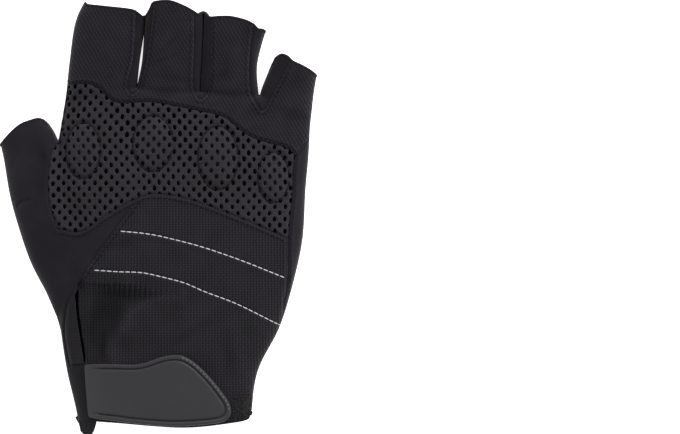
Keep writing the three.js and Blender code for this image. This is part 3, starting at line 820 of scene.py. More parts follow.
def capsule_row(path, pitch, length, radius, sides=6, offset=0.5):
    """Stitches along a path: one rounded bead of a given length at each pitch."""
    along = lengths(path)
    count = int((along[-1] - length) / pitch)
    centres = (np.arange(count) + offset) * pitch + length / 2
    direction = np.gradient(path, axis=0)
    at = np.stack([np.interp(centres, along, c) for c in path.T], axis=1)
    ahead = np.stack([np.interp(centres, along, c) for c in direction.T], axis=1)
    ahead = unit(ahead)
    side = unit(np.cross(ahead, (0.0, 0.0, 1.0)))
    up = np.cross(side, ahead)
    bend = np.linspace(-math.pi / 2, math.pi / 2, 7)
    reach = np.sin(bend) * length / 2
    width = radius * np.cos(bend) ** 0.5
    width[[0, -1]] = 0
    sag = -0.6 * radius * np.abs(np.sin(bend)) ** 3
    angle = np.linspace(0, 2 * math.pi, sides + 1)
    shape = (7, sides + 1)
    local = np.stack([
        np.broadcast_to(reach[:, None], shape),
        width[:, None] * np.cos(angle)[None],
        width[:, None] * np.sin(angle)[None] + sag[:, None],
    ], axis=2)
    axes = np.stack([ahead, side, up], axis=1)
    rows = at[:, None, None] + np.einsum("rsk,nkc->nrsc", local, axes)
    one = grid_faces(7, sides + 1)
    faces = one[None] + np.arange(count)[:, None, None] * (7 * (sides + 1))
    return weld(rows.reshape(-1, 3), faces.reshape(-1, 4), 1e-4)


def on_back(curve, rise=0.0):
    return np.concatenate([curve, back_z(curve)[:, None] + rise], axis=1)


def on_palm(curve, rise=0.0):
    return np.concatenate([curve, palm_z(curve)[:, None] - rise], axis=1)


def on_outline(curve):
    """Plan curve at the height of the side seams."""
    return np.concatenate([curve, np.full((len(curve), 1), SEAM_HEIGHT)], axis=1)


def shifted(curve, distance):
    """Curve moved sideways, to its left for a positive distance."""
    step = unit(np.gradient(curve, axis=0))
    return curve + distance * np.stack([-step[:, 1], step[:, 0]], axis=1)


# Materials


class Looks:
    """Small helper that lays out the nodes of one material."""

    def __init__(self, name, colour):
        self.material = bpy.data.materials.new(name)
        self.material.use_nodes = True
        self.tree = self.material.node_tree
        self.shader = self.tree.nodes["Principled BSDF"]
        self.colour = tuple(colour) + (1.0,)
        self.shader.inputs["Base Color"].default_value = self.colour
        self.place = self.node("ShaderNodeTexCoord").outputs["Object"]

    def surface(self, roughness, sheen=0.0, metallic=0.0, gloss=0.1):
        """Values that are the same all over the surface."""
        for socket, value in (
                ("Roughness", roughness), ("Metallic", metallic), ("Sheen Weight", sheen),
                ("Sheen Roughness", 0.5), ("Specular IOR Level", gloss)):
            self.shader.inputs[socket].default_value = value

    def node(self, kind, **values):
        made = self.tree.nodes.new(kind)
        for key, value in values.items():
            setattr(made, key, value)
        return made

    def link(self, output, socket):
        self.tree.links.new(output, socket)

    def math(self, operation, a, b):
        made = self.node("ShaderNodeMath", operation=operation)
        for place, value in enumerate((a, b)):
            if isinstance(value, (int, float)):
                made.inputs[place].default_value = value
            else:
                self.link(value, made.inputs[place])
        return made.outputs[0]

    def times(self, a, b):
        return self.math("MULTIPLY", a, b)

    def mixed(self, a, share_a, b, share_b):
        """Sum of two patterns, each times its share."""
        return self.math("ADD", self.times(a, share_a), self.times(b, share_b))

    def mapped(self, turn=0.0, scale=(1.0, 1.0, 1.0)):
        made = self.node("ShaderNodeMapping")
        made.inputs["Rotation"].default_value = (0.0, 0.0, turn)
        made.inputs["Scale"].default_value = scale
        self.link(self.place, made.inputs["Vector"])
        return made.outputs["Vector"]

    def stripes(self, pitch, degrees=0.0, distortion=0.0):
        """Bands 0 to 1 with a pitch in mm, turned in the plan."""
        made = self.node("ShaderNodeTexWave", wave_profile="SIN", bands_direction="X")
        made.inputs["Scale"].default_value = 2 * math.pi / 20 / (pitch * MM)
        made.inputs["Distortion"].default_value = distortion
        made.inputs["Detail"].default_value = 0.0
        self.link(self.mapped(math.radians(degrees)), made.inputs["Vector"])
        return made.outputs["Fac"]

    def noise(self, size, detail=2.0, stretch=(1.0, 1.0, 1.0)):
        """Clouds 0 to 1 with a size in mm."""
        made = self.node("ShaderNodeTexNoise")
        made.inputs["Scale"].default_value = 1 / (size * MM)
        made.inputs["Detail"].default_value = detail
        self.link(self.mapped(0.0, stretch), made.inputs["Vector"])
        return made.outputs["Fac"]

    def tint(self, factor, dark, light, with_painted_shade=False):
        """Base colour between a darker and a lighter share of the colour, times the
        painted shade of the mesh's folds where it has one."""
        made = self.node("ShaderNodeMix", data_type="RGBA")
        self.link(factor, made.inputs["Factor"])
        for socket, share in (("A", dark), ("B", light)):
            value = tuple(min(1.0, c * share) for c in self.colour[:3]) + (1.0,)
            found = [s for s in made.inputs if s.name == socket and s.type == "RGBA"][0]
            found.default_value = value
        result = [s for s in made.outputs if s.type == "RGBA"][0]
        if with_painted_shade:
            shade = self.node("ShaderNodeAttribute", attribute_name="shade").outputs["Fac"]
            scale = self.node("ShaderNodeVectorMath", operation="SCALE")
            self.link(result, scale.inputs["Vector"])
            self.link(self.math("ADD", self.times(shade, 1.3), 0.35), scale.inputs["Scale"])
            result = scale.outputs["Vector"]
        self.link(result, self.shader.inputs["Base Color"])

    def bump(self, height, distance):
        """Relief of a given height in mm."""
        made = self.node("ShaderNodeBump")
        made.inputs["Distance"].default_value = distance * MM
        made.inputs["Strength"].default_value = 1.0
        self.link(height, made.inputs["Height"])
        self.link(made.outputs["Normal"], self.shader.inputs["Normal"])


def finger_knit(look):
    """Fine diagonal knit: two sets of slanting ribs and slow clouds."""
    look.surface(0.86, sheen=0.04)
    weave = look.times(look.stripes(0.85, 52, 1.5), look.stripes(1.3, -30, 1.0))
    # The painted shade of the folds darkens and lightens this colour.
    look.tint(look.mixed(weave, 0.7, look.noise(7.0, 4.0), 0.45), 0.2, 2.25, True)
    look.bump(weave, 0.22)


def back_mesh(look):
    """Ribbed mesh: upright ribs crossed by rows of small dimples."""
    look.surface(0.84, sheen=0.04)
    ribs, rows = look.stripes(1.15, 0, 0.6), look.stripes(1.0, 90, 0.6)
    diagonal = look.times(look.stripes(1.5, 45, 0.8), rows)
    upright = look.times(ribs, look.math("ADD", look.times(rows, 0.45), 0.55))
    weave = look.mixed(upright, 0.75, diagonal, 0.3)
    # The painted shade of the folds darkens and lightens this colour.
    look.tint(look.mixed(weave, 0.75, look.noise(9.0, 4.0), 0.4), 0.2, 2.0, True)
    look.bump(weave, 0.25)


def net_cloth(look):
    """Net: thread grain along the strands."""
    look.surface(0.8, sheen=0.06)
    grain = look.noise(0.35, 2.0, (1.0, 0.4, 1.0))
    # The painted shade of the folds darkens and lightens this colour.
    look.tint(look.mixed(grain, 0.6, look.noise(8.0, 3.0), 0.5), 0.55, 1.6, True)
    look.bump(grain, 0.18)


def plain_cloth(look, with_painted_shade=False):
    """Smooth stretch cloth: fine grain and slow clouds."""
    look.surface(0.9, sheen=0.06)
    grain = look.noise(0.45, 3.0)
    look.tint(look.mixed(grain, 0.45, look.noise(11.0, 4.0), 0.65), 0.3, 1.85, with_painted_shade)
    look.bump(grain, 0.07)


def smooth_cloth(look):
    """The same cloth with the painted shade of the back's folds on its colour."""
    plain_cloth(look, True)


def binding(look):
    """Folded tape with fine ribs across it."""
    look.surface(0.82, sheen=0.05)
    ribs = look.stripes(0.6, 90, 0.5)
    look.tint(look.mixed(ribs, 0.5, look.noise(5.0, 3.0), 0.5), 0.6, 1.5)
    look.bump(ribs, 0.1)


def palm_suede(look):
    """Synthetic suede: short nap with brushed clouds."""
    look.surface(0.95, sheen=0.08)
    nap = look.noise(0.3, 3.0)
    look.tint(look.mixed(nap, 0.35, look.noise(14.0, 5.0), 0.75), 0.6, 1.5)
    look.bump(nap, 0.08)


def loop_cloth(look):
    """Loop pile: coarse fuzzy grains."""
    look.surface(0.97, sheen=0.1)
    pile = look.noise(0.8, 5.0)
    look.tint(pile, 0.2, 2.2)
    look.bump(pile, 0.6)


def pad_foam(look):
    """Foam with small open cells."""
    look.surface(0.95, gloss=0.05)
    cells = look.noise(0.5, 3.0)
    look.tint(cells, 0.6, 1.4)
    look.bump(cells, 0.12)


def strap_rubber(look):
    """Moulded rubber, satin, with a fine grain."""
    look.surface(0.45, gloss=0.3)
    look.tint(look.noise(18.0, 4.0), 0.85, 1.2)
    look.bump(look.noise(0.25, 2.0), 0.03)


def silver_print(look):
    """Silver coating with a mottled grain."""
    look.surface(0.38, metallic=0.55, gloss=0.5)
    grain = look.noise(0.9, 4.0)
    look.tint(look.times(grain, look.noise(6.0, 3.0)), 0.75, 1.5)
    look.bump(grain, 0.05)


def tab_webbing(look):
    """Grey tape with close ribs across."""
    look.surface(0.8, sheen=0.1)
    weave = look.times(look.stripes(0.9, 90, 0.4), look.stripes(0.7, 0, 0.4))
    look.tint(look.mixed(weave, 0.5, look.noise(4.0, 3.0), 0.4), 0.7, 1.35)
    look.bump(weave, 0.15)


def thread(look):
    """Twisted sewing thread."""
    look.surface(0.7)
    twist = look.noise(0.2, 2.0)
    look.tint(twist, 0.75, 1.25)
    look.bump(twist, 0.05)


def floor(look):
    """Matt white floor that gives a little light, like a light table."""
    look.surface(0.9)
    look.tint(look.noise(300.0, 2.0), 0.99, 1.01)
    look.shader.inputs["Emission Color"].default_value = (1.0, 1.0, 1.0, 1.0)
    look.shader.inputs["Emission Strength"].default_value = 0.8


FINISHES = {
    "finger_knit": finger_knit, "back_mesh": back_mesh, "net_cloth": net_cloth,
    "smooth_cloth": smooth_cloth, "wall_cloth": plain_cloth, "binding": binding,
    "palm_suede": palm_suede, "loop_cloth": loop_cloth, "pad_foam": pad_foam,
    "strap_rubber": strap_rubber, "silver_print": silver_print, "tab_webbing": tab_webbing,
    "light_thread": thread, "grey_thread": thread, "dark_thread": thread, "floor": floor,
}
MATERIALS = {}


def material(name):
    """Material of a name, made the first time that it is asked for."""
    if name not in MATERIALS:
        look = Looks(name, getattr(colours(), name))
        FINISHES[name](look)
        MATERIALS[name] = look.material
    return MATERIALS[name]


# Pieces


def slot_arms(name, left_level, right_level):
    """A slot's seam line in three: the thumbward arm upwards, the bottom from left to
    right, and the littleward arm upwards."""
    seam = SLOT_SEAMS[name]
    low = int(np.argmin(seam[:, 1]))
    left_y, right_y = plan([(0, left_level), (0, right_level)])[:, 1]
    a = int(np.argmin(np.abs(seam[:low, 1] - left_y)))
    b = low + int(np.argmin(np.abs(seam[low:, 1] - right_y)))
    return seam[:a + 1][::-1], seam[a:b + 1], seam[b:]


ARMS = {
    "index_middle": slot_arms("index_middle", 82.3, 82.0),
    "middle_ring": slot_arms("middle_ring", 82.0, 82.0),
    "ring_little": slot_arms("ring_little", 82.0, 78.6),
}
INDEX_BASE = 83.0
LITTLE_BASE = 75.6


def on_curve(curve, level):
    """Point of a curve at a share of the length."""
    y = spot(0, level)[1]
    return np.array([x_at(curve, y), y])


def mouth_between(start, stop, count):
    """Mouth line between two points, ordered across."""
    x = np.linspace(start[0], stop[0], count)
    y = np.interp(x, MOUTHS[:, 0], MOUTHS[:, 1])
    line = np.stack([x, y], axis=1)
    line[0], line[-1] = start, stop
    return line


def finger_grids(side):
    """The four fingers' grids above the crotch line, and that line with its dips."""
    index_mouth = crossing(INDEX_SIDE[:-1], MOUTHS)
    little_mouth = crossing(LITTLE_SIDE, MOUTHS)
    index_edge = between(INDEX_SIDE, on_curve(INDEX_SIDE, INDEX_BASE), index_mouth)
    little_edge = between(LITTLE_SIDE, on_curve(LITTLE_SIDE, LITTLE_BASE), little_mouth)
    lefts = [index_edge] + [ARMS[n][2] for n in ARMS]
    rights = [ARMS[n][0] for n in ARMS] + [little_edge]
    dips = [ARMS[n][1] for n in ARMS]
    grids, line = [], []
    for number, (left, right) in enumerate(zip(lefts, rights)):
        u = eased(34, low=number == 0, high=number == 3)
        v = eased(48)
        bottom = left[0] + (right[0] - left[0]) * u[:, None]
        top = resample(mouth_between(left[-1], right[-1], 60), u)
        grid = patch(bottom, top, resample(left, v), resample(right, v), u, v)
        flat = [0] if number == 0 else [-1] if number == 3 else []
        grids.append(lifted(grid, side, flat))
        line.append(bottom)
        if number < 3:
            line.append(resample(dips[number], np.linspace(0, 1, 33)))
    line = joined(*line)
    line[:, 0] = np.maximum.accumulate(line[:, 0])
    return grids, line


def base_grid(line, lower, left, right, side, rows=22):
    """Band between the crotch line and a lower curve, its columns paired by their share of
    the way across."""
    u = spread(line)
    x = lower[0, 0] + u * (lower[-1, 0] - lower[0, 0])
    below = np.stack([x, np.interp(x, lower[:, 0], lower[:, 1])], axis=1)
    v = np.linspace(0, 1, rows)
    grid = patch(below, line, resample(left, v), resample(right, v), u, v)
    return lifted(grid, side, [0, -1])


def first_past(curve, side, way=1):
    """First point of a curve to the right (1) or the left (-1) of the outline's side."""
    return curve[int(np.argmax(way * (curve[:, 0] - x_at(side, curve[:, 1])) > 0))]


SIDE_TOP = first_past(CURVES["side_seam"], LITTLE_SIDE, -1)
SIDE_MEET = first_past(CURVES["side_seam"][len(CURVES["side_seam"]) // 2:], LITTLE_SIDE)
NET_START = first_past(CURVES["net_top"], INDEX_SIDE)


def build_finger_back():
    """Panel over the backs of the four fingers and the band below them."""
    grids, line = finger_grids(1)
    seam_part = between(CURVES["side_seam"], STRIP_TOP, SIDE_TOP)
    top_part = between(CURVES["net_top"], NET_START, STRIP_TOP)
    lower = joined(top_part, seam_part)
    left = between(INDEX_SIDE, NET_START, line[0])
    right = between(LITTLE_SIDE, SIDE_TOP, line[-1])
    grids.append(base_grid(line, lower, left, right, 1))
    make_piece("finger_back", gather(grids), "finger_knit", cloth_wall(), back_painted_shade)


def build_fourchettes():
    """Side walls: across from the back's seam to the slot's edge and on to the palm's seam;
    along from mouth to mouth round the crotch."""
    for name in SLOTS:
        seam, edge = SLOT_SEAMS[name], SLOT_EDGES[name]
        t = np.linspace(0, 1, 150)
        low_seam = lengths(seam)[int(np.argmin(seam[:, 1]))] / lengths(seam)[-1]
        low_edge = lengths(edge)[int(np.argmin(edge[:, 1]))] / lengths(edge)[-1]
        outer = resample(seam, np.interp(t, [0, 0.5, 1], [0, low_seam, 1]))
        inner = resample(edge, np.interp(t, [0, 0.5, 1], [0, low_edge, 1]))
        w = eased(14, high=True)[:, None, None]
        grid = (1 - w) * outer[None] + w * inner[None]
        along = lengths(outer)
        for end, away in ((0, along), (-1, along[-1] - along)):
            rise = np.interp(grid[:, end, 0], MOUTHS[:, 0], MOUTHS[:, 1]) - grid[:, end, 1]
            grid[..., 1] += rise[:, None] * np.clip(1 - away / 4, 0, 1)[None] ** 2
        top = lifted(grid, 1, flat_rows=[-1])
        under = lifted(grid[::-1], -1, flat_rows=[0])
        tuck = 0.6 * unit(outer - grid[1])
        tuck = np.concatenate([tuck, np.full((len(tuck), 1), -0.7)], axis=1)
        top = np.concatenate([(top[0] + tuck)[None], top])
        under = np.concatenate([under, (under[-1] + tuck * (1, 1, -1))[None]])
        make_piece("fourchette_" + name, gather([top, under]), "wall_cloth", cloth_wall() * 0.8)


def net_outline():
    """Outline of the net, closed."""
    left = between(INDEX_SIDE, NET_START, CROTCH)
    net_left = CURVES["net_left"]
    start = net_left[nearest(net_left, CROTCH)]
    left_low = between(net_left, start, NET_CORNER)
    bottom = CURVES["net_bottom"]
    right = between(CURVES["side_seam"], STRIP_LOW, STRIP_TOP)
    top = between(CURVES["net_top"], STRIP_TOP, NET_START)
    return np.vstack([left, left_low, bottom, right, top])


def inside(points, outline):
    """Whether each point is inside a closed outline, by counting crossings to its right."""
    a, b = outline, np.roll(outline, -1, axis=0)
    x, y = points[:, 0:1], points[:, 1:2]
    straddles = (a[None, :, 1] > y) != (b[None, :, 1] > y)
    with np.errstate(divide="ignore", invalid="ignore"):
        cross = a[None, :, 0] + (y - a[None, :, 1]) / (b - a)[None, :, 1] * (b - a)[None, :, 0]
    return (np.sum(straddles & (x < cross), axis=1) % 2) == 1


def index_edge(points):
    """Left outline beside each point from the crotch up, and far left below it."""
    y = np.clip(points[:, 1], INDEX_SIDE[-1, 1], INDEX_SIDE[0, 1])
    return np.where(points[:, 1] > CROTCH[1], x_at(INDEX_SIDE, y), -WIDTH)


def build_knuckle_net():
    """Net: staggered six-sided cells, each with an upright oval hole. From the hole's rim
    to the cell's edge the strand rises and falls like a flattened thread."""
    s = sizes()
    pitch, step = s.net_pitch / MM, s.net_row_step / MM
    hole = np.array([s.net_hole_width, s.net_hole_height]) / MM / 2
    outline = net_outline()
    low, high = outline.min(axis=0) - pitch, outline.max(axis=0) + pitch
    rows = np.arange(int((high[1] - low[1]) / step) + 1)
    columns = np.arange(int((high[0] - low[0]) / pitch) + 1)
    r, c = (a.ravel() for a in np.meshgrid(rows, columns, indexing="ij"))
    centres = np.stack([low[0] + c * pitch + (r % 2) * pitch / 2, low[1] + r * step], axis=1)
    reach = inside(centres, outline) | (distance_to(centres, outline, 1) < 1.6)
    centres = centres[reach & (centres[:, 0] > index_edge(centres) + 0.3)]
    q = (pitch * pitch / 4 + step * step) / (2 * step)
    corners = np.array([(pitch / 2, step - q), (0, q), (-pitch / 2, step - q),
                        (-pitch / 2, q - step), (0, -q), (pitch / 2, q - step)])
    ring = []
    for k in range(6):
        a, b = corners[k], corners[(k + 1) % 6]
        ring += [a, a + (b - a) / 3, a + 2 * (b - a) / 3]
    ring = np.array(ring)
    angle = np.arctan2(ring[:, 1], ring[:, 0])
    rim = np.stack([np.cos(angle), np.sin(angle)], axis=1) * hole
    levels = np.array([0.0, 0.18, 0.5, 0.8, 1.0])
    heights = np.array([-0.45, -0.12, 0.1, 0.08, 0.0])
    size = (1 + 0.16 * waves(centres, 17, 0.4) + 0.12 * waves(centres, 5.3, 1.9))[:, None, None, None]
    rims = size * rim[None, None]
    cell = rims + levels[None, :, None, None] * (ring - rims)
    cell = np.concatenate([cell, cell[:, :, :1]], axis=2)
    grid = centres[:, None, None, :] + cell
    shape = grid.shape
    flat = grid.reshape(-1, 2)
    flat = flat + np.stack([0.8 * waves(flat, 24, 1.1), 0.6 * waves(flat, 27, 2.9)], axis=1)
    flat[:, 0] = np.maximum(flat[:, 0], index_edge(flat) + 0.55)
    z = back_z(flat) - 0.12
    near = distance_to(flat, np.vstack([outline, outline[:1]]), 2)
    z -= np.where(inside(flat, outline), 0, np.minimum(near * 1.5, 0.5) + 0.25)
    z += np.tile(np.repeat(heights, shape[2]), shape[0])
    points = np.concatenate([flat, z[:, None]], axis=1)
    one = grid_faces(shape[1], shape[2], flip=True)
    faces = one[None] + np.arange(len(centres))[:, None, None] * (shape[1] * shape[2])
    net = weld(points, faces.reshape(-1, 4), 0.01)
    make_piece("knuckle_net", net, "net_cloth", 0.7, back_painted_shade)


def build_knuckle_pads():
    """Oval pads behind the net: a crowned top and a flatter underside that meet at the rim."""
    for name, (across, along, half_width, half_length) in KNUCKLES.items():
        centre = spot(across, along)
        share = np.linspace(0, 1, 14)[:, None]
        turn = np.linspace(0, 2 * math.pi, 49)[None]
        place = np.stack([centre[0] + (half_width - 1.8) * share * np.cos(turn),
                          centre[1] + (half_length - 1.8) * share * np.sin(turn)], axis=2)
        top = back_z(place.reshape(-1, 2)).reshape(place.shape[:2]) - 1.35
        thick = 1.6 * np.clip(1 - share ** 4, 0, 1) ** 0.5
        upper = np.concatenate([place, (top - 0.25 * share ** 2)[..., None]], axis=2)
        lower = np.concatenate([place, (top - 0.25 * share ** 2 - thick)[..., None]], axis=2)
        pad = weld(*joined_parts([
            (upper.reshape(-1, 3), grid_faces(*upper.shape[:2])),
            (lower.reshape(-1, 3), grid_faces(*lower.shape[:2], flip=True)),
        ]))
        make_piece("knuckle_pad_" + name, pad, "pad_foam")


def build_hand_back():
    """Panel over the back of the hand, from the net down to the wrist."""
    top = between(CURVES["net_bottom"], WEB_TIP, STRIP_LOW)
    seam = CURVES["side_seam"]
    right = joined(between(LITTLE_SIDE, CURVES["back_hem"][-1], SIDE_MEET),
                   between(seam, SIDE_MEET, top[-1]))
    bottom = CURVES["back_hem"]
    slit = shifted(CURVES["slit"], 0.85)
    left = joined(CURVES["anchor_seam"][::-1], slit[::-1][3:-3],
                  CURVES["back_diagonal"][::-1][2:])
    left[0], left[-1] = bottom[0], top[0]
    u, v = 0.5 * eased(200) + 0.5 * eased(200, high=True), eased(160)
    grid = patch_of(bottom, top, left, right, u, v)
    space = lifted(grid, 1)
    space[distance_to(grid[:, -1], LITTLE_SIDE, 1) < 0.4, -1, 2] = SEAM_HEIGHT
    make_piece("hand_back", gather([space]), "back_mesh", cloth_wall(), back_painted_shade)


def build_loop_patch():
    """Fuzzy field at the wrist: a low pillow with short fibres standing on it."""
    outline = ring_of("loop_patch", 140)
    field = pillow(outline, [(0, -0.3), (0.1, 0.15), (0.5, 0.5), (1.5, 0.55)], 1)
    rng = np.random.default_rng(5)
    low, high = outline.min(axis=0), outline.max(axis=0)
    spots = rng.uniform(low, high, (1500, 2))
    spots = np.vstack([spots[inside(spots, outline)], np.repeat(outline, 2, axis=0)])
    spots = np.concatenate([spots, back_z(spots)[:, None] + 0.35], axis=1)
    make_piece("loop_patch", joined_parts([field, fuzz(spots, 1.1, 0.09, 6)]), "loop_cloth")


def inset(ring, distance):
    """Closed ring moved inwards in small steps, evened out after each so that corners
    never fold over."""
    way = 1 if turns_left(ring) else -1
    count = max(1, math.ceil(distance / 0.35))
    for _ in range(count):
        step = unit(np.roll(ring, -1, axis=0) - np.roll(ring, 1, axis=0))
        inward = np.stack([-step[:, 1], step[:, 0]], axis=1) * way
        ring = ring + inward * distance / count
        for _ in range(2):
            ring = 0.5 * ring + 0.25 * (np.roll(ring, 1, axis=0) + np.roll(ring, -1, axis=0))
        shares = np.arange(len(ring)) / len(ring)
        ring = resample(np.vstack([ring, ring[:1]]), shares)
    return ring


def pillow(outline, profile, side, spokes=10, lift=None):
    """Raised closed piece over an outline. The profile gives its rise at distances inside
    the outline; from the last one inwards the rise stays. The underside follows the cloth."""
    rings, done = [], 0.0
    for distance, rise in profile:
        outline = inset(outline, distance - done) if distance > done else outline
        done = distance
        rings.append((outline, rise))
    centre = outline.mean(axis=0)
    for share in np.linspace(0, 1, spokes + 1)[1:]:
        rings.append((centre + (outline - centre) * (1 - share), profile[-1][1]))
    plan_rings = np.array([np.vstack([ring, ring[:1]]) for ring, _ in rings])
    rises = np.array([rise for _, rise in rings])
    flat = plan_rings.reshape(-1, 2)
    base = lift or (back_z if side > 0 else palm_z)
    base = base(flat).reshape(plan_rings.shape[:2])
    top = np.concatenate([plan_rings, (base + side * rises[:, None])[..., None]], axis=2)
    low = np.concatenate([plan_rings, (base - side * 0.3)[..., None]], axis=2)
    low[0] = top[0]
    turned = turns_left(rings[0][0]) == (side > 0)
    return weld(*joined_parts([
        (top.reshape(-1, 3), grid_faces(*top.shape[:2], flip=not turned)),
        (low.reshape(-1, 3), grid_faces(*low.shape[:2], flip=turned)),
    ]))


def ring_of(name, count):
    """Closed outline as an even ring of points."""
    curve = CLOSED[name]
    return resample(np.vstack([curve, curve[:1]]), np.arange(count) / count)


def fuzz(centres, length, radius, seed):
    """Short curled fibres that stand up from points in random directions."""
    rng = np.random.default_rng(seed)
    count = len(centres)
    angle = rng.uniform(0, 2 * math.pi, count)
    lean = rng.uniform(0.3, 1.2, count)
    size = length * rng.uniform(0.5, 1.2, count)
    t = np.linspace(0, 1, 5)[None, :, None]
    way = np.stack([np.cos(angle) * np.sin(lean), np.sin(angle) * np.sin(lean), np.cos(lean)], axis=1)
    bow = np.stack([-np.sin(angle), np.cos(angle), np.zeros(count)], axis=1)
    line = centres[:, None] + size[:, None, None] * (way[:, None] * t + 0.5 * bow[:, None] * t * (1 - t))
    around = np.linspace(0, 2 * math.pi, 5)[None, None, :, None]
    across = np.cross(way, bow)
    width = radius * (1 - 0.9 * t[..., None] ** 3)
    ring = np.cos(around) * bow[:, None, None] + np.sin(around) * across[:, None, None]
    rows = line[:, :, None] + width * ring
    one = grid_faces(5, 5)
    faces = one[None] + np.arange(count)[:, None, None] * 25
    return weld(rows.reshape(-1, 3), faces.reshape(-1, 4), 1e-4)


def build_side_strip():
    """Strip between the side seam and the outline."""
    left = between(CURVES["side_seam"], SIDE_MEET, SIDE_TOP)
    right = between(LITTLE_SIDE, SIDE_MEET, SIDE_TOP)
    u, v = eased(22, high=True), eased(110)
    left, right = resample(left, v), resample(right, v)
    grid = (1 - u)[None, :, None] * left[:, None] + u[None, :, None] * right[:, None]
    space = lifted(grid, 1, [-1])
    make_piece("side_strip", gather([space]), "smooth_cloth", cloth_wall(), back_painted_shade)


def thumb_mouth_points():
    mouth = CURVES["thumb_mouth"]
    outer = crossing(THUMB_OUTER, mouth)
    inner = crossing(THUMB_INNER, mouth)
    return outer, inner, between(mouth, outer, inner)


def build_thumb_side():
    """Thumb's back, the web behind the net, the sliver beside the binding and the outer
    side under the hand."""
    outer, inner, mouth = thumb_mouth_points()
    net_left = CURVES["net_left"]
    start = net_left[nearest(net_left, CROTCH)]
    binding = CURVES["binding_left"]
    right = joined(binding[::-1], CURVES["thumb_fold"][::-1], between(net_left, NET_CORNER, start),
                   np.vstack([start, CROTCH]), between(THUMB_INNER, CROTCH, inner))
    bottom_left = on_curve(THUMB_OUTER, 16.0)
    left = between(THUMB_OUTER, bottom_left, outer)
    u, v = eased(64, low=True, high=True), eased(150)
    bottom = left[0] + (right[0] - left[0]) * u[:, None]
    grid = patch(bottom, resample(mouth, u), by_height(left, v), by_height(right, v), u, v)
    space = lifted(grid, 1, [0])
    space[grid[:, -1, 1] > CROTCH[1] - 0.5, -1, 2] = SEAM_HEIGHT
    diagonal = CURVES["back_diagonal"]
    net_bottom = between(CURVES["net_bottom"], NET_CORNER, WEB_TIP)
    web_low = between(diagonal, FOLD_END, diagonal[0])
    column = grid[:, -1]
    column = column[(column[:, 1] > FOLD_END[1] + 0.05) & (column[:, 1] < NET_CORNER[1] - 0.05)]
    fold = np.vstack([FOLD_END, column, NET_CORNER])
    u, v = eased(40), (fold[:, 1] - FOLD_END[1]) / (NET_CORNER[1] - FOLD_END[1])
    far = resample(web_low, v)
    web = patch(np.repeat(FOLD_END[None], 40, axis=0), resample(net_bottom, u), fold, far, u, v)
    web_space = lifted(web, 1)
    under_left = between(THUMB_OUTER, on_curve(THUMB_OUTER, 3.4), outer)
    seam = CURVES["palm_seam"]
    seam_top = crossing(seam, mouth)
    under_right = between(seam, seam[-1], seam_top)
    under_top = between(mouth, outer, seam_top)
    hem = CURVES["palm_hem"]
    under_bottom = between(hem, hem[0], seam[-1])
    u, v = eased(50, low=True), eased(150)
    under_left[0] = under_bottom[0]
    under = patch(resample(under_bottom, u), resample(under_top, u),
                  by_height(under_left, v), by_height(under_right, v), u, v, 0.2)
    under = lifted(under, -1, [0])
    both = weld(*joined_parts([gather([space, web_space]), gather([under], flip=True)]))
    make_piece("thumb_side", both, "smooth_cloth", cloth_wall(), back_painted_shade)


def build_slit_binding():
    """Bound strip left of the wrist slit, and the tab below it."""
    binding = CURVES["binding_left"]
    diagonal = CURVES["back_diagonal"]
    slit = shifted(CURVES["slit"], -0.45)[::-1]
    right = joined(slit[:-3], between(diagonal, diagonal[-1], binding[0]))
    u, v = eased(16), eased(70)
    strip = patch(resample(np.vstack([binding[-1], right[0]]), u),
                  np.repeat(binding[:1], 16, axis=0),
                  resample(binding[::-1], v), resample(right, v), u, v)
    upper = lifted(strip, 1)
    upper[..., 2] += 0.35
    outer = between(THUMB_OUTER, CURVES["tab_hem"][0], on_curve(THUMB_OUTER, 16.0))
    seam = CURVES["anchor_seam"][::-1]
    top = np.vstack([outer[-1], binding[-1], seam[-1]])
    u, v = eased(24, low=True), eased(50)
    lower = lifted(patch_of(CURVES["tab_hem"], top, outer, seam, u, v), 1, [0])
    both = joined_parts([gather([upper]), gather([lower])])
    make_piece("slit_binding", both, "binding", cloth_wall())


def build_wrist_strap():
    """Strap: a wall, a flat rim, a groove and a gently crowned face inside it."""
    outline = ring_of("strap", 360)
    t = sizes().strap_thickness / MM
    profile = [(0, -0.2), (0.02, 0.2), (0.03, t - 0.5), (0.15, t - 0.18), (0.4, t), (0.9, t + 0.03),
               (1.35, t), (1.6, t - 0.15), (1.75, t - 0.5), (1.95, t - 0.7), (2.15, t - 0.5),
               (2.3, t - 0.15), (2.6, t - 0.02), (3.4, t)]
    points, faces = pillow(outline, profile, 1, 16, strap_base)
    rise = points[:, 2] - strap_base(points[:, :2])
    sewn = np.clip(1 - (points[:, 0] - outline[:, 0].min() - 3.0) / 4.0, 0, 1)
    points[:, 2] += np.where(rise > t - 0.8, sewn * (t - 0.1 - rise), 0)
    make_piece("wrist_strap", (points, faces), "strap_rubber")


def pad_base(points):
    """Smooth depth of the palm under the sewn pad, without the crease."""
    _, under = base_heights(points)
    return np.maximum(SEAM_HEIGHT - under - 0.12 * waves(points, 30, 1.3), 0.9)


def strap_base(points):
    """Smooth height of the back under the strap, without folds."""
    over, _ = base_heights(points)
    return SEAM_HEIGHT + over + 0.15


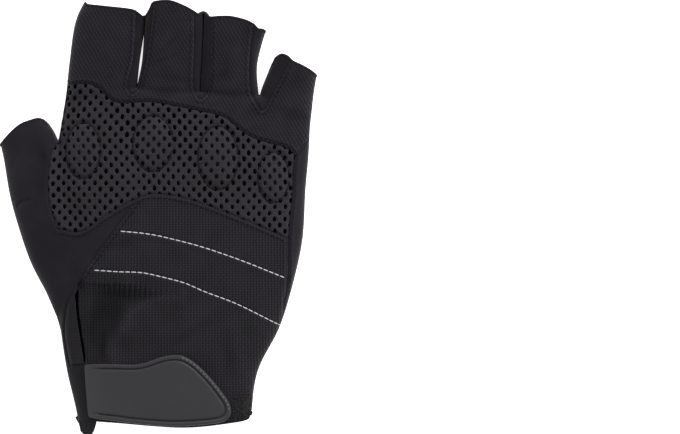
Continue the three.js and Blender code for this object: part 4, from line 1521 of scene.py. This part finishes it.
def build_palm():
    """Palm: four fingers, the band below them down to the wrist, and the thumb's inside."""
    grids, line = finger_grids(-1)
    crease = CURVES["thumb_crease"].copy()
    crease[0] = CROTCH
    seam = CURVES["palm_seam"]
    low = crease[-1]
    hem = CURVES["palm_hem"]
    lower = between(hem, seam[-1], hem[-1])
    left = joined(between(seam, seam[-1], low), crease[::-1], between(INDEX_SIDE, CROTCH, line[0]))
    right = between(LITTLE_SIDE, hem[-1], line[-1])
    u = spread(line)
    v = eased(130)
    grid = patch(resample(lower, u), line, by_height(left, v), by_height(right, v), u, v, 0.4)
    space = lifted(grid, -1, [-1])
    above = grid[:, 0, 1] > CROTCH[1] - 0.3
    space[above, 0, 2] = SEAM_HEIGHT
    _, inner, mouth = thumb_mouth_points()
    seam_top = crossing(seam, mouth)
    thumb_left = between(seam, low, seam_top)
    thumb_right = joined(crease[::-1], between(THUMB_INNER, CROTCH, inner))
    u, v = eased(44, high=True), eased(110)
    thumb_left, thumb_right = resample(thumb_left, v), resample(thumb_right, v)
    top = resample(between(mouth, seam_top, inner), u)
    bottom = np.repeat(low[None], len(u), axis=0)
    thumb = patch(bottom, top, thumb_left, thumb_right, u, v)
    thumb_space = lifted(thumb, -1)
    above = thumb[:, -1, 1] > CROTCH[1] - 0.3
    thumb_space[above, -1, 2] = SEAM_HEIGHT
    shape = gather(grids + [space, thumb_space], flip=True)
    make_piece("palm", shape, "palm_suede", cloth_wall())


def build_heel_pad():
    """Flat pad sewn on the palm, pressed flat where it rests on the floor."""
    outline = ring_of("heel_pad", 240)
    profile = [(0, -0.1), (0.3, 0.25), (0.9, 0.3), (1.3, 0.2), (1.8, 0.55), (3.0, 1.0), (5.0, 1.25)]
    points, faces = pillow(outline, profile, -1, 24, pad_base)
    points[:, 2] = np.maximum(points[:, 2], 0)
    make_piece("heel_pad", (points, faces), "palm_suede")


def build_palm_stripe():
    """Thin silver stripe across the palm, cut at the little finger's side."""
    u = eased(160)
    low, high = resample(CURVES["crescent_bottom"], u), resample(CURVES["crescent_top"], u)
    w = np.linspace(0, 1, 16)[:, None, None]
    grid = (1 - w) * low[None] + w * high[None]
    grid[..., 0] = np.minimum(grid[..., 0], x_at(LITTLE_SIDE, grid[..., 1]) - 0.4)
    space = lifted(grid, -1)
    space[..., 2] -= 0.12
    make_piece("palm_stripe", gather([space], flip=True), "silver_print", 0.1)


def build_pull_tab():
    """Woven tab under the middle finger, sewn at both ends and loose between them."""
    corners = plan([(46.0, 85.6), (59.6, 84.0), (62.0, 96.9), (48.2, 99.4)])
    u, v = eased(30), eased(44)
    grid = patch_of(np.vstack([corners[0], corners[1]]), np.vstack([corners[3], corners[2]]),
                    np.vstack([corners[0], corners[3]]), np.vstack([corners[1], corners[2]]), u, v)
    space = lifted(grid, -1)
    loose = np.sin(math.pi * v)[:, None] ** 0.8 * np.sin(math.pi * u)[None] ** 0.3
    space[..., 2] -= 0.25 + 0.5 * loose
    make_piece("pull_tab", gather([space], flip=True), "tab_webbing", 0.8)


def build_light_stitching():
    """Two light rows across the back."""
    s = sizes()
    pitch, length, radius = s.stitch_pitch / MM, s.stitch_length / MM, s.stitch_radius / MM
    rows = []
    for name in ("stitch_line_upper", "stitch_line_lower"):
        path = on_back(resample(CURVES[name], np.linspace(0, 1, 500)), 0.12)
        rows.append(capsule_row(path, pitch, length, radius, 8))
    make_piece("light_stitching", joined_parts(rows), "light_thread", slot="back_mesh")


def build_strap_stitching():
    """Row of fine stitches along the strap's rim at its free end."""
    rim = inset(ring_of("strap", 360), 0.85)
    high = sizes().strap_thickness / MM
    right = rim[(rim[:, 0] > spot(57.0, 0)[0]) & (rim[:, 1] > spot(0, 4.0)[1])]
    right = right[np.argsort(right[:, 0] - right[:, 1])]
    path = np.concatenate([right, strap_base(right)[:, None] + high + 0.05], axis=1)
    row = capsule_row(path, 1.7, 1.2, 0.2)
    make_piece("strap_stitching", row, "grey_thread", slot="strap_rubber")


def build_dark_stitching():
    """Dark rows along the seams, round the slots and the pads, and on the palm."""
    rows = []
    for curve, distance in (
            (CURVES["net_top"], 1.3), (CURVES["net_bottom"], -1.3), (CURVES["side_seam"], 1.3),
            (CURVES["back_diagonal"], 1.2), (CURVES["binding_left"], 1.0)):
        path = resample(shifted(curve, distance), np.linspace(0, 1, 400))
        keep = inside_mitt(path)
        rows.append(capsule_row(on_back(path[keep], 0.08), 2.1, 1.7, 0.2))
    for curve in SLOT_SEAMS.values():
        path = resample(shifted(curve, -1.2), np.linspace(0, 1, 300))[6:-6]
        rows.append(capsule_row(on_back(path, 0.08), 2.1, 1.7, 0.18))
        rows.append(capsule_row(on_palm(path, 0.05), 2.1, 1.7, 0.18))
    for name in KNUCKLES:
        across, along, half_width, half_length = KNUCKLES[name]
        turn = np.linspace(0, 2 * math.pi, 240)
        path = spot(across, along) + np.stack(
            [half_width * np.cos(turn), half_length * np.sin(turn)], axis=1)
        rows.append(capsule_row(on_back(path, 0.25), 2.2, 1.9, 0.3))
    for name in ("palm_seam", "palm_row_inner", "palm_row_outer"):
        path = resample(CURVES[name], np.linspace(0, 1, 300))[8:]
        rows.append(capsule_row(on_palm(path, 0.03), 2.1, 1.5, 0.18))
    make_piece("dark_stitching", joined_parts(rows), "dark_thread", slot="finger_knit")


def build_hems():
    """Rolled hems and piping, all as one piece."""
    make_piece("hems", joined_parts(hem_beads()), "binding", slot="binding")


def mouth_loop(line):
    """Closed path round one mouth: over the back and back under the palm."""
    line = resample(line, eased(60, low=True, high=True)) - (0, 0.45)
    share = np.linspace(-1, 1, 60)[:, None]
    line = line - 0.45 * share ** 9 * (line[-1] - line[0]) / np.linalg.norm(line[-1] - line[0])
    over, under = on_back(line, -0.35), on_palm(line, -0.35)
    over[[0, -1], 2] = SEAM_HEIGHT
    return np.vstack([over, under[-2:0:-1]])


def within(curve, margin):
    """Curve kept a margin inside the mitt's outline at the wrist."""
    y = curve[:, 1]
    low, high = x_at(THUMB_OUTER, y) + margin, x_at(LITTLE_SIDE, y) - margin
    return np.stack([np.clip(curve[:, 0], low, high), y], axis=1)


def hem_beads():
    """Rolled hems round the five mouths and the wrist, piping where back and palm meet
    beside the index and the little finger and inside the thumb, and cords in the slots."""
    lefts = [crossing(INDEX_SIDE[:-1], MOUTHS)] + [edge[-1] for edge in SLOT_EDGES.values()]
    rights = [edge[0] for edge in SLOT_EDGES.values()] + [crossing(LITTLE_SIDE, MOUTHS)]
    loops = [mouth_between(a, b, 80) for a, b in zip(lefts, rights)]
    loops.append(thumb_mouth_points()[2])
    beads = [ring_mesh(mouth_loop(line), 0.55) for line in loops]
    back = within(joined(CURVES["back_hem"][::-1], CURVES["tab_hem"][::-1][2:]), 1.0)
    palm = on_palm(within(CURVES["palm_hem"][::3], 1.0), -0.4)
    back = on_back(back[::3], -0.4)
    palm[[0, -1], 2] = back[[0, -1], 2] = SEAM_HEIGHT
    beads.append(ring_mesh(np.vstack([palm[:-1], back[:-1]]), 0.6))
    sides = [
        (between(INDEX_SIDE, lefts[0], CROTCH), 0.3),
        (between(LITTLE_SIDE, rights[-1], CURVES["back_hem"][-1]), -0.4),
        (between(THUMB_INNER, thumb_mouth_points()[1], CROTCH), -0.4),
    ]
    for side, inwards in sides:
        path = shifted(resample(side, np.linspace(0, 1, 160)), inwards)
        beads.append(cord_mesh(on_outline(path), 0.55, 10))
    for edge in SLOT_EDGES.values():
        path = resample(edge, np.linspace(0, 1, 120))
        beads.append(cord_mesh(on_outline(path), 0.3, 6))
    return beads


def inside_mitt(points):
    over, _ = base_heights(points)
    return over > 1.5


def build_stage():
    """Pale floor, soft lights and the camera straight above."""
    scene = bpy.context.scene
    mesh = bpy.data.meshes.new("floor")
    half = 3.0
    corners = [(-half, -half, 0), (half, -half, 0), (half, half, 0), (-half, half, 0)]
    mesh.from_pydata(corners, [], [(0, 1, 2, 3)])
    mesh.materials.append(material("floor"))
    ground = bpy.data.objects.new("floor", mesh)
    scene.collection.objects.link(ground)
    world = bpy.data.worlds.new("studio")
    world.use_nodes = True
    world.node_tree.nodes["Background"].inputs["Color"].default_value = (1.0, 1.0, 1.0, 1.0)
    world.node_tree.nodes["Background"].inputs["Strength"].default_value = 0.75
    scene.world = world
    for name, place, size, power in (
            ("key", (0.95, 0.95, 0.95), 0.7, 26.0),
            ("fill", (-1.2, -0.2, 1.1), 1.2, 5.0),
            ("back", (-0.2, 1.3, 0.7), 0.8, 6.0)):
        light = bpy.data.lights.new(name, "AREA")
        light.size = size
        light.energy = power
        made = bpy.data.objects.new(name, light)
        made.location = place
        made.rotation_euler = facing_origin(np.array(place))
        scene.collection.objects.link(made)
    camera = bpy.data.cameras.new("camera")
    height, seen_width, photo_centre = 1.2, 0.2652, 70.8
    camera.sensor_width = 36.0
    camera.lens = camera.sensor_width * height / seen_width
    eye = bpy.data.objects.new("camera", camera)
    eye.location = (photo_centre * MM + PLAN_SHIFT[0] * MM, 0.0, height + SEAM_HEIGHT * MM)
    scene.collection.objects.link(eye)
    scene.camera = eye
    scene.view_settings.view_transform = "Standard"
    scene.view_settings.look = "None"
    scene.view_settings.exposure = 0.0


def facing_origin(place):
    """Turn that points the -Z of an object at a place towards the origin."""
    x, y, z = -place / np.linalg.norm(place)
    return (math.acos(-z), 0.0, math.atan2(y, x) - math.pi / 2)


# The add-on


def length_property(label, text, millimetres):
    return bpy.props.FloatProperty(
        name=label, description=text, default=millimetres * MM, min=0.0,
        unit="LENGTH", subtype="DISTANCE", precision=5)


def colour_property(label, text, value):
    return bpy.props.FloatVectorProperty(
        name=label, description=text, default=value, size=3, min=0.0, max=1.0, subtype="COLOR")


class MittSizes(bpy.types.PropertyGroup):
    cloth_wall: length_property("Cloth wall", "Thickness of the cloth panels", 0.9)
    seam_groove: length_property("Seam groove", "Depth of the groove along a seam", 0.5)
    knuckle_rise: length_property("Knuckle rise", "Rise of the ovals over the knuckles", 1.3)
    net_pitch: length_property("Net pitch", "Distance between holes in one row of the net", 4.1)
    net_row_step: length_property("Net row step", "Distance between rows of holes", 2.34)
    net_hole_width: length_property("Net hole width", "Width of one hole", 1.4)
    net_hole_height: length_property("Net hole height", "Height of one hole", 1.95)
    stitch_pitch: length_property("Stitch pitch", "Distance between light stitches", 2.4)
    stitch_length: length_property("Stitch length", "Length of a light stitch", 2.1)
    stitch_radius: length_property("Stitch radius", "Radius of a light stitch", 0.23)
    strap_thickness: length_property("Strap thickness", "Height of the strap's rim", 1.7)


class MittColours(bpy.types.PropertyGroup):
    finger_knit: colour_property("Finger knit", "Knit over the fingers", (0.0092, 0.0080, 0.0108))
    net_cloth: colour_property("Net", "Net over the knuckles", (0.0150, 0.0136, 0.0164))
    back_mesh: colour_property("Back mesh", "Mesh over the hand", (0.0098, 0.0088, 0.0108))
    smooth_cloth: colour_property("Smooth cloth", "Thumb and side", (0.0078, 0.0066, 0.0088))
    # The walls' colour is set darker than the rest of the cloth as painted shade between the fingers.
    wall_cloth: colour_property("Wall cloth", "Walls between the fingers", (0.0058, 0.0048, 0.0066))
    binding: colour_property("Binding", "Bound edge at the wrist", (0.0085, 0.0076, 0.0096))
    palm_suede: colour_property("Palm suede", "Suede of the palm", (0.0085, 0.0076, 0.0085))
    loop_cloth: colour_property("Loop cloth", "Fuzzy field at the wrist", (0.0110, 0.0102, 0.0112))
    pad_foam: colour_property("Pad foam", "Pads behind the net", (0.0140, 0.0130, 0.0150))
    strap_rubber: colour_property("Strap", "Closing strap", (0.0170, 0.0158, 0.0185))
    silver_print: colour_property("Silver", "Stripe on the palm", (0.60, 0.60, 0.62))
    tab_webbing: colour_property("Pull tab", "Tab under the middle finger", (0.21, 0.195, 0.18))
    light_thread: colour_property("Light thread", "Rows on the back", (0.42, 0.42, 0.44))
    grey_thread: colour_property("Grey thread", "Row on the strap's rim", (0.10, 0.10, 0.105))
    dark_thread: colour_property("Dark thread", "Rows along the seams", (0.0050, 0.0046, 0.0054))
    floor: colour_property("Floor", "Floor and backdrop", (0.94, 0.94, 0.94))


class MITT_OT_finger_back(bpy.types.Operator):
    """Knit panel over the four fingers"""
    bl_idname = "mitt.finger_back"
    bl_label = "Finger Back"

    def execute(self, context):
        build_finger_back()
        return {"FINISHED"}


class MITT_OT_fourchettes(bpy.types.Operator):
    """Side walls between the fingers"""
    bl_idname = "mitt.fourchettes"
    bl_label = "Finger Walls"

    def execute(self, context):
        build_fourchettes()
        return {"FINISHED"}


class MITT_OT_knuckle_net(bpy.types.Operator):
    """Open net over the knuckles and the pads behind it"""
    bl_idname = "mitt.knuckle_net"
    bl_label = "Knuckle Net"

    def execute(self, context):
        build_knuckle_net()
        build_knuckle_pads()
        return {"FINISHED"}


class MITT_OT_hand_back(bpy.types.Operator):
    """Mesh panel over the back of the hand and the fuzzy field"""
    bl_idname = "mitt.hand_back"
    bl_label = "Hand Back"

    def execute(self, context):
        build_hand_back()
        build_loop_patch()
        return {"FINISHED"}


class MITT_OT_side_strip(bpy.types.Operator):
    """Plain strip down the little finger's side"""
    bl_idname = "mitt.side_strip"
    bl_label = "Side Strip"

    def execute(self, context):
        build_side_strip()
        return {"FINISHED"}


class MITT_OT_thumb_side(bpy.types.Operator):
    """Smooth cloth of the thumb"""
    bl_idname = "mitt.thumb_side"
    bl_label = "Thumb Side"

    def execute(self, context):
        build_thumb_side()
        return {"FINISHED"}


class MITT_OT_slit_binding(bpy.types.Operator):
    """Bound edge beside the wrist slit"""
    bl_idname = "mitt.slit_binding"
    bl_label = "Slit Binding"

    def execute(self, context):
        build_slit_binding()
        return {"FINISHED"}


class MITT_OT_wrist_strap(bpy.types.Operator):
    """Rubber closing strap"""
    bl_idname = "mitt.wrist_strap"
    bl_label = "Wrist Strap"

    def execute(self, context):
        build_wrist_strap()
        return {"FINISHED"}


class MITT_OT_palm(bpy.types.Operator):
    """Suede palm"""
    bl_idname = "mitt.palm"
    bl_label = "Palm"

    def execute(self, context):
        build_palm()
        return {"FINISHED"}


class MITT_OT_palm_pads(bpy.types.Operator):
    """Sewn pad, stripe and pull tab of the palm"""
    bl_idname = "mitt.palm_pads"
    bl_label = "Palm Pads"

    def execute(self, context):
        build_heel_pad()
        build_palm_stripe()
        build_pull_tab()
        return {"FINISHED"}


class MITT_OT_stitching(bpy.types.Operator):
    """Rows of stitches, hems and piping"""
    bl_idname = "mitt.stitching"
    bl_label = "Stitching"

    def execute(self, context):
        build_light_stitching()
        build_strap_stitching()
        build_dark_stitching()
        build_hems()
        return {"FINISHED"}


class MITT_OT_stage(bpy.types.Operator):
    """Floor, lights and camera"""
    bl_idname = "mitt.stage"
    bl_label = "Stage"

    def execute(self, context):
        build_stage()
        return {"FINISHED"}


OPERATORS = (
    MITT_OT_finger_back, MITT_OT_fourchettes, MITT_OT_knuckle_net, MITT_OT_hand_back,
    MITT_OT_side_strip, MITT_OT_thumb_side, MITT_OT_slit_binding, MITT_OT_wrist_strap,
    MITT_OT_palm, MITT_OT_palm_pads, MITT_OT_stitching, MITT_OT_stage,
)


class MITT_PT_panel(bpy.types.Panel):
    """Panel that lists the pieces of the mitt"""
    bl_idname = "MITT_PT_panel"
    bl_label = "Cycling Mitt"
    bl_space_type = "VIEW_3D"
    bl_region_type = "UI"
    bl_category = "Mitt"

    def draw(self, context):
        for group in (context.scene.mitt_sizes, context.scene.mitt_colours):
            box = self.layout.box()
            for name in group.__annotations__:
                box.prop(group, name)
        for operator in OPERATORS:
            self.layout.operator(operator.bl_idname)


CLASSES = (MittSizes, MittColours) + OPERATORS + (MITT_PT_panel,)


def register():
    for cls in CLASSES:
        bpy.utils.register_class(cls)
    bpy.types.Scene.mitt_sizes = bpy.props.PointerProperty(type=MittSizes)
    bpy.types.Scene.mitt_colours = bpy.props.PointerProperty(type=MittColours)


def unregister():
    del bpy.types.Scene.mitt_colours
    del bpy.types.Scene.mitt_sizes
    for cls in reversed(CLASSES):
        bpy.utils.unregister_class(cls)


def main():
    register()
    bpy.ops.mitt.finger_back()
    bpy.ops.mitt.fourchettes()
    bpy.ops.mitt.knuckle_net()
    bpy.ops.mitt.hand_back()
    bpy.ops.mitt.side_strip()
    bpy.ops.mitt.thumb_side()
    bpy.ops.mitt.slit_binding()
    bpy.ops.mitt.wrist_strap()
    bpy.ops.mitt.palm()
    bpy.ops.mitt.palm_pads()
    bpy.ops.mitt.stitching()
    bpy.ops.mitt.stage()


if __name__ == "__main__":
    main()
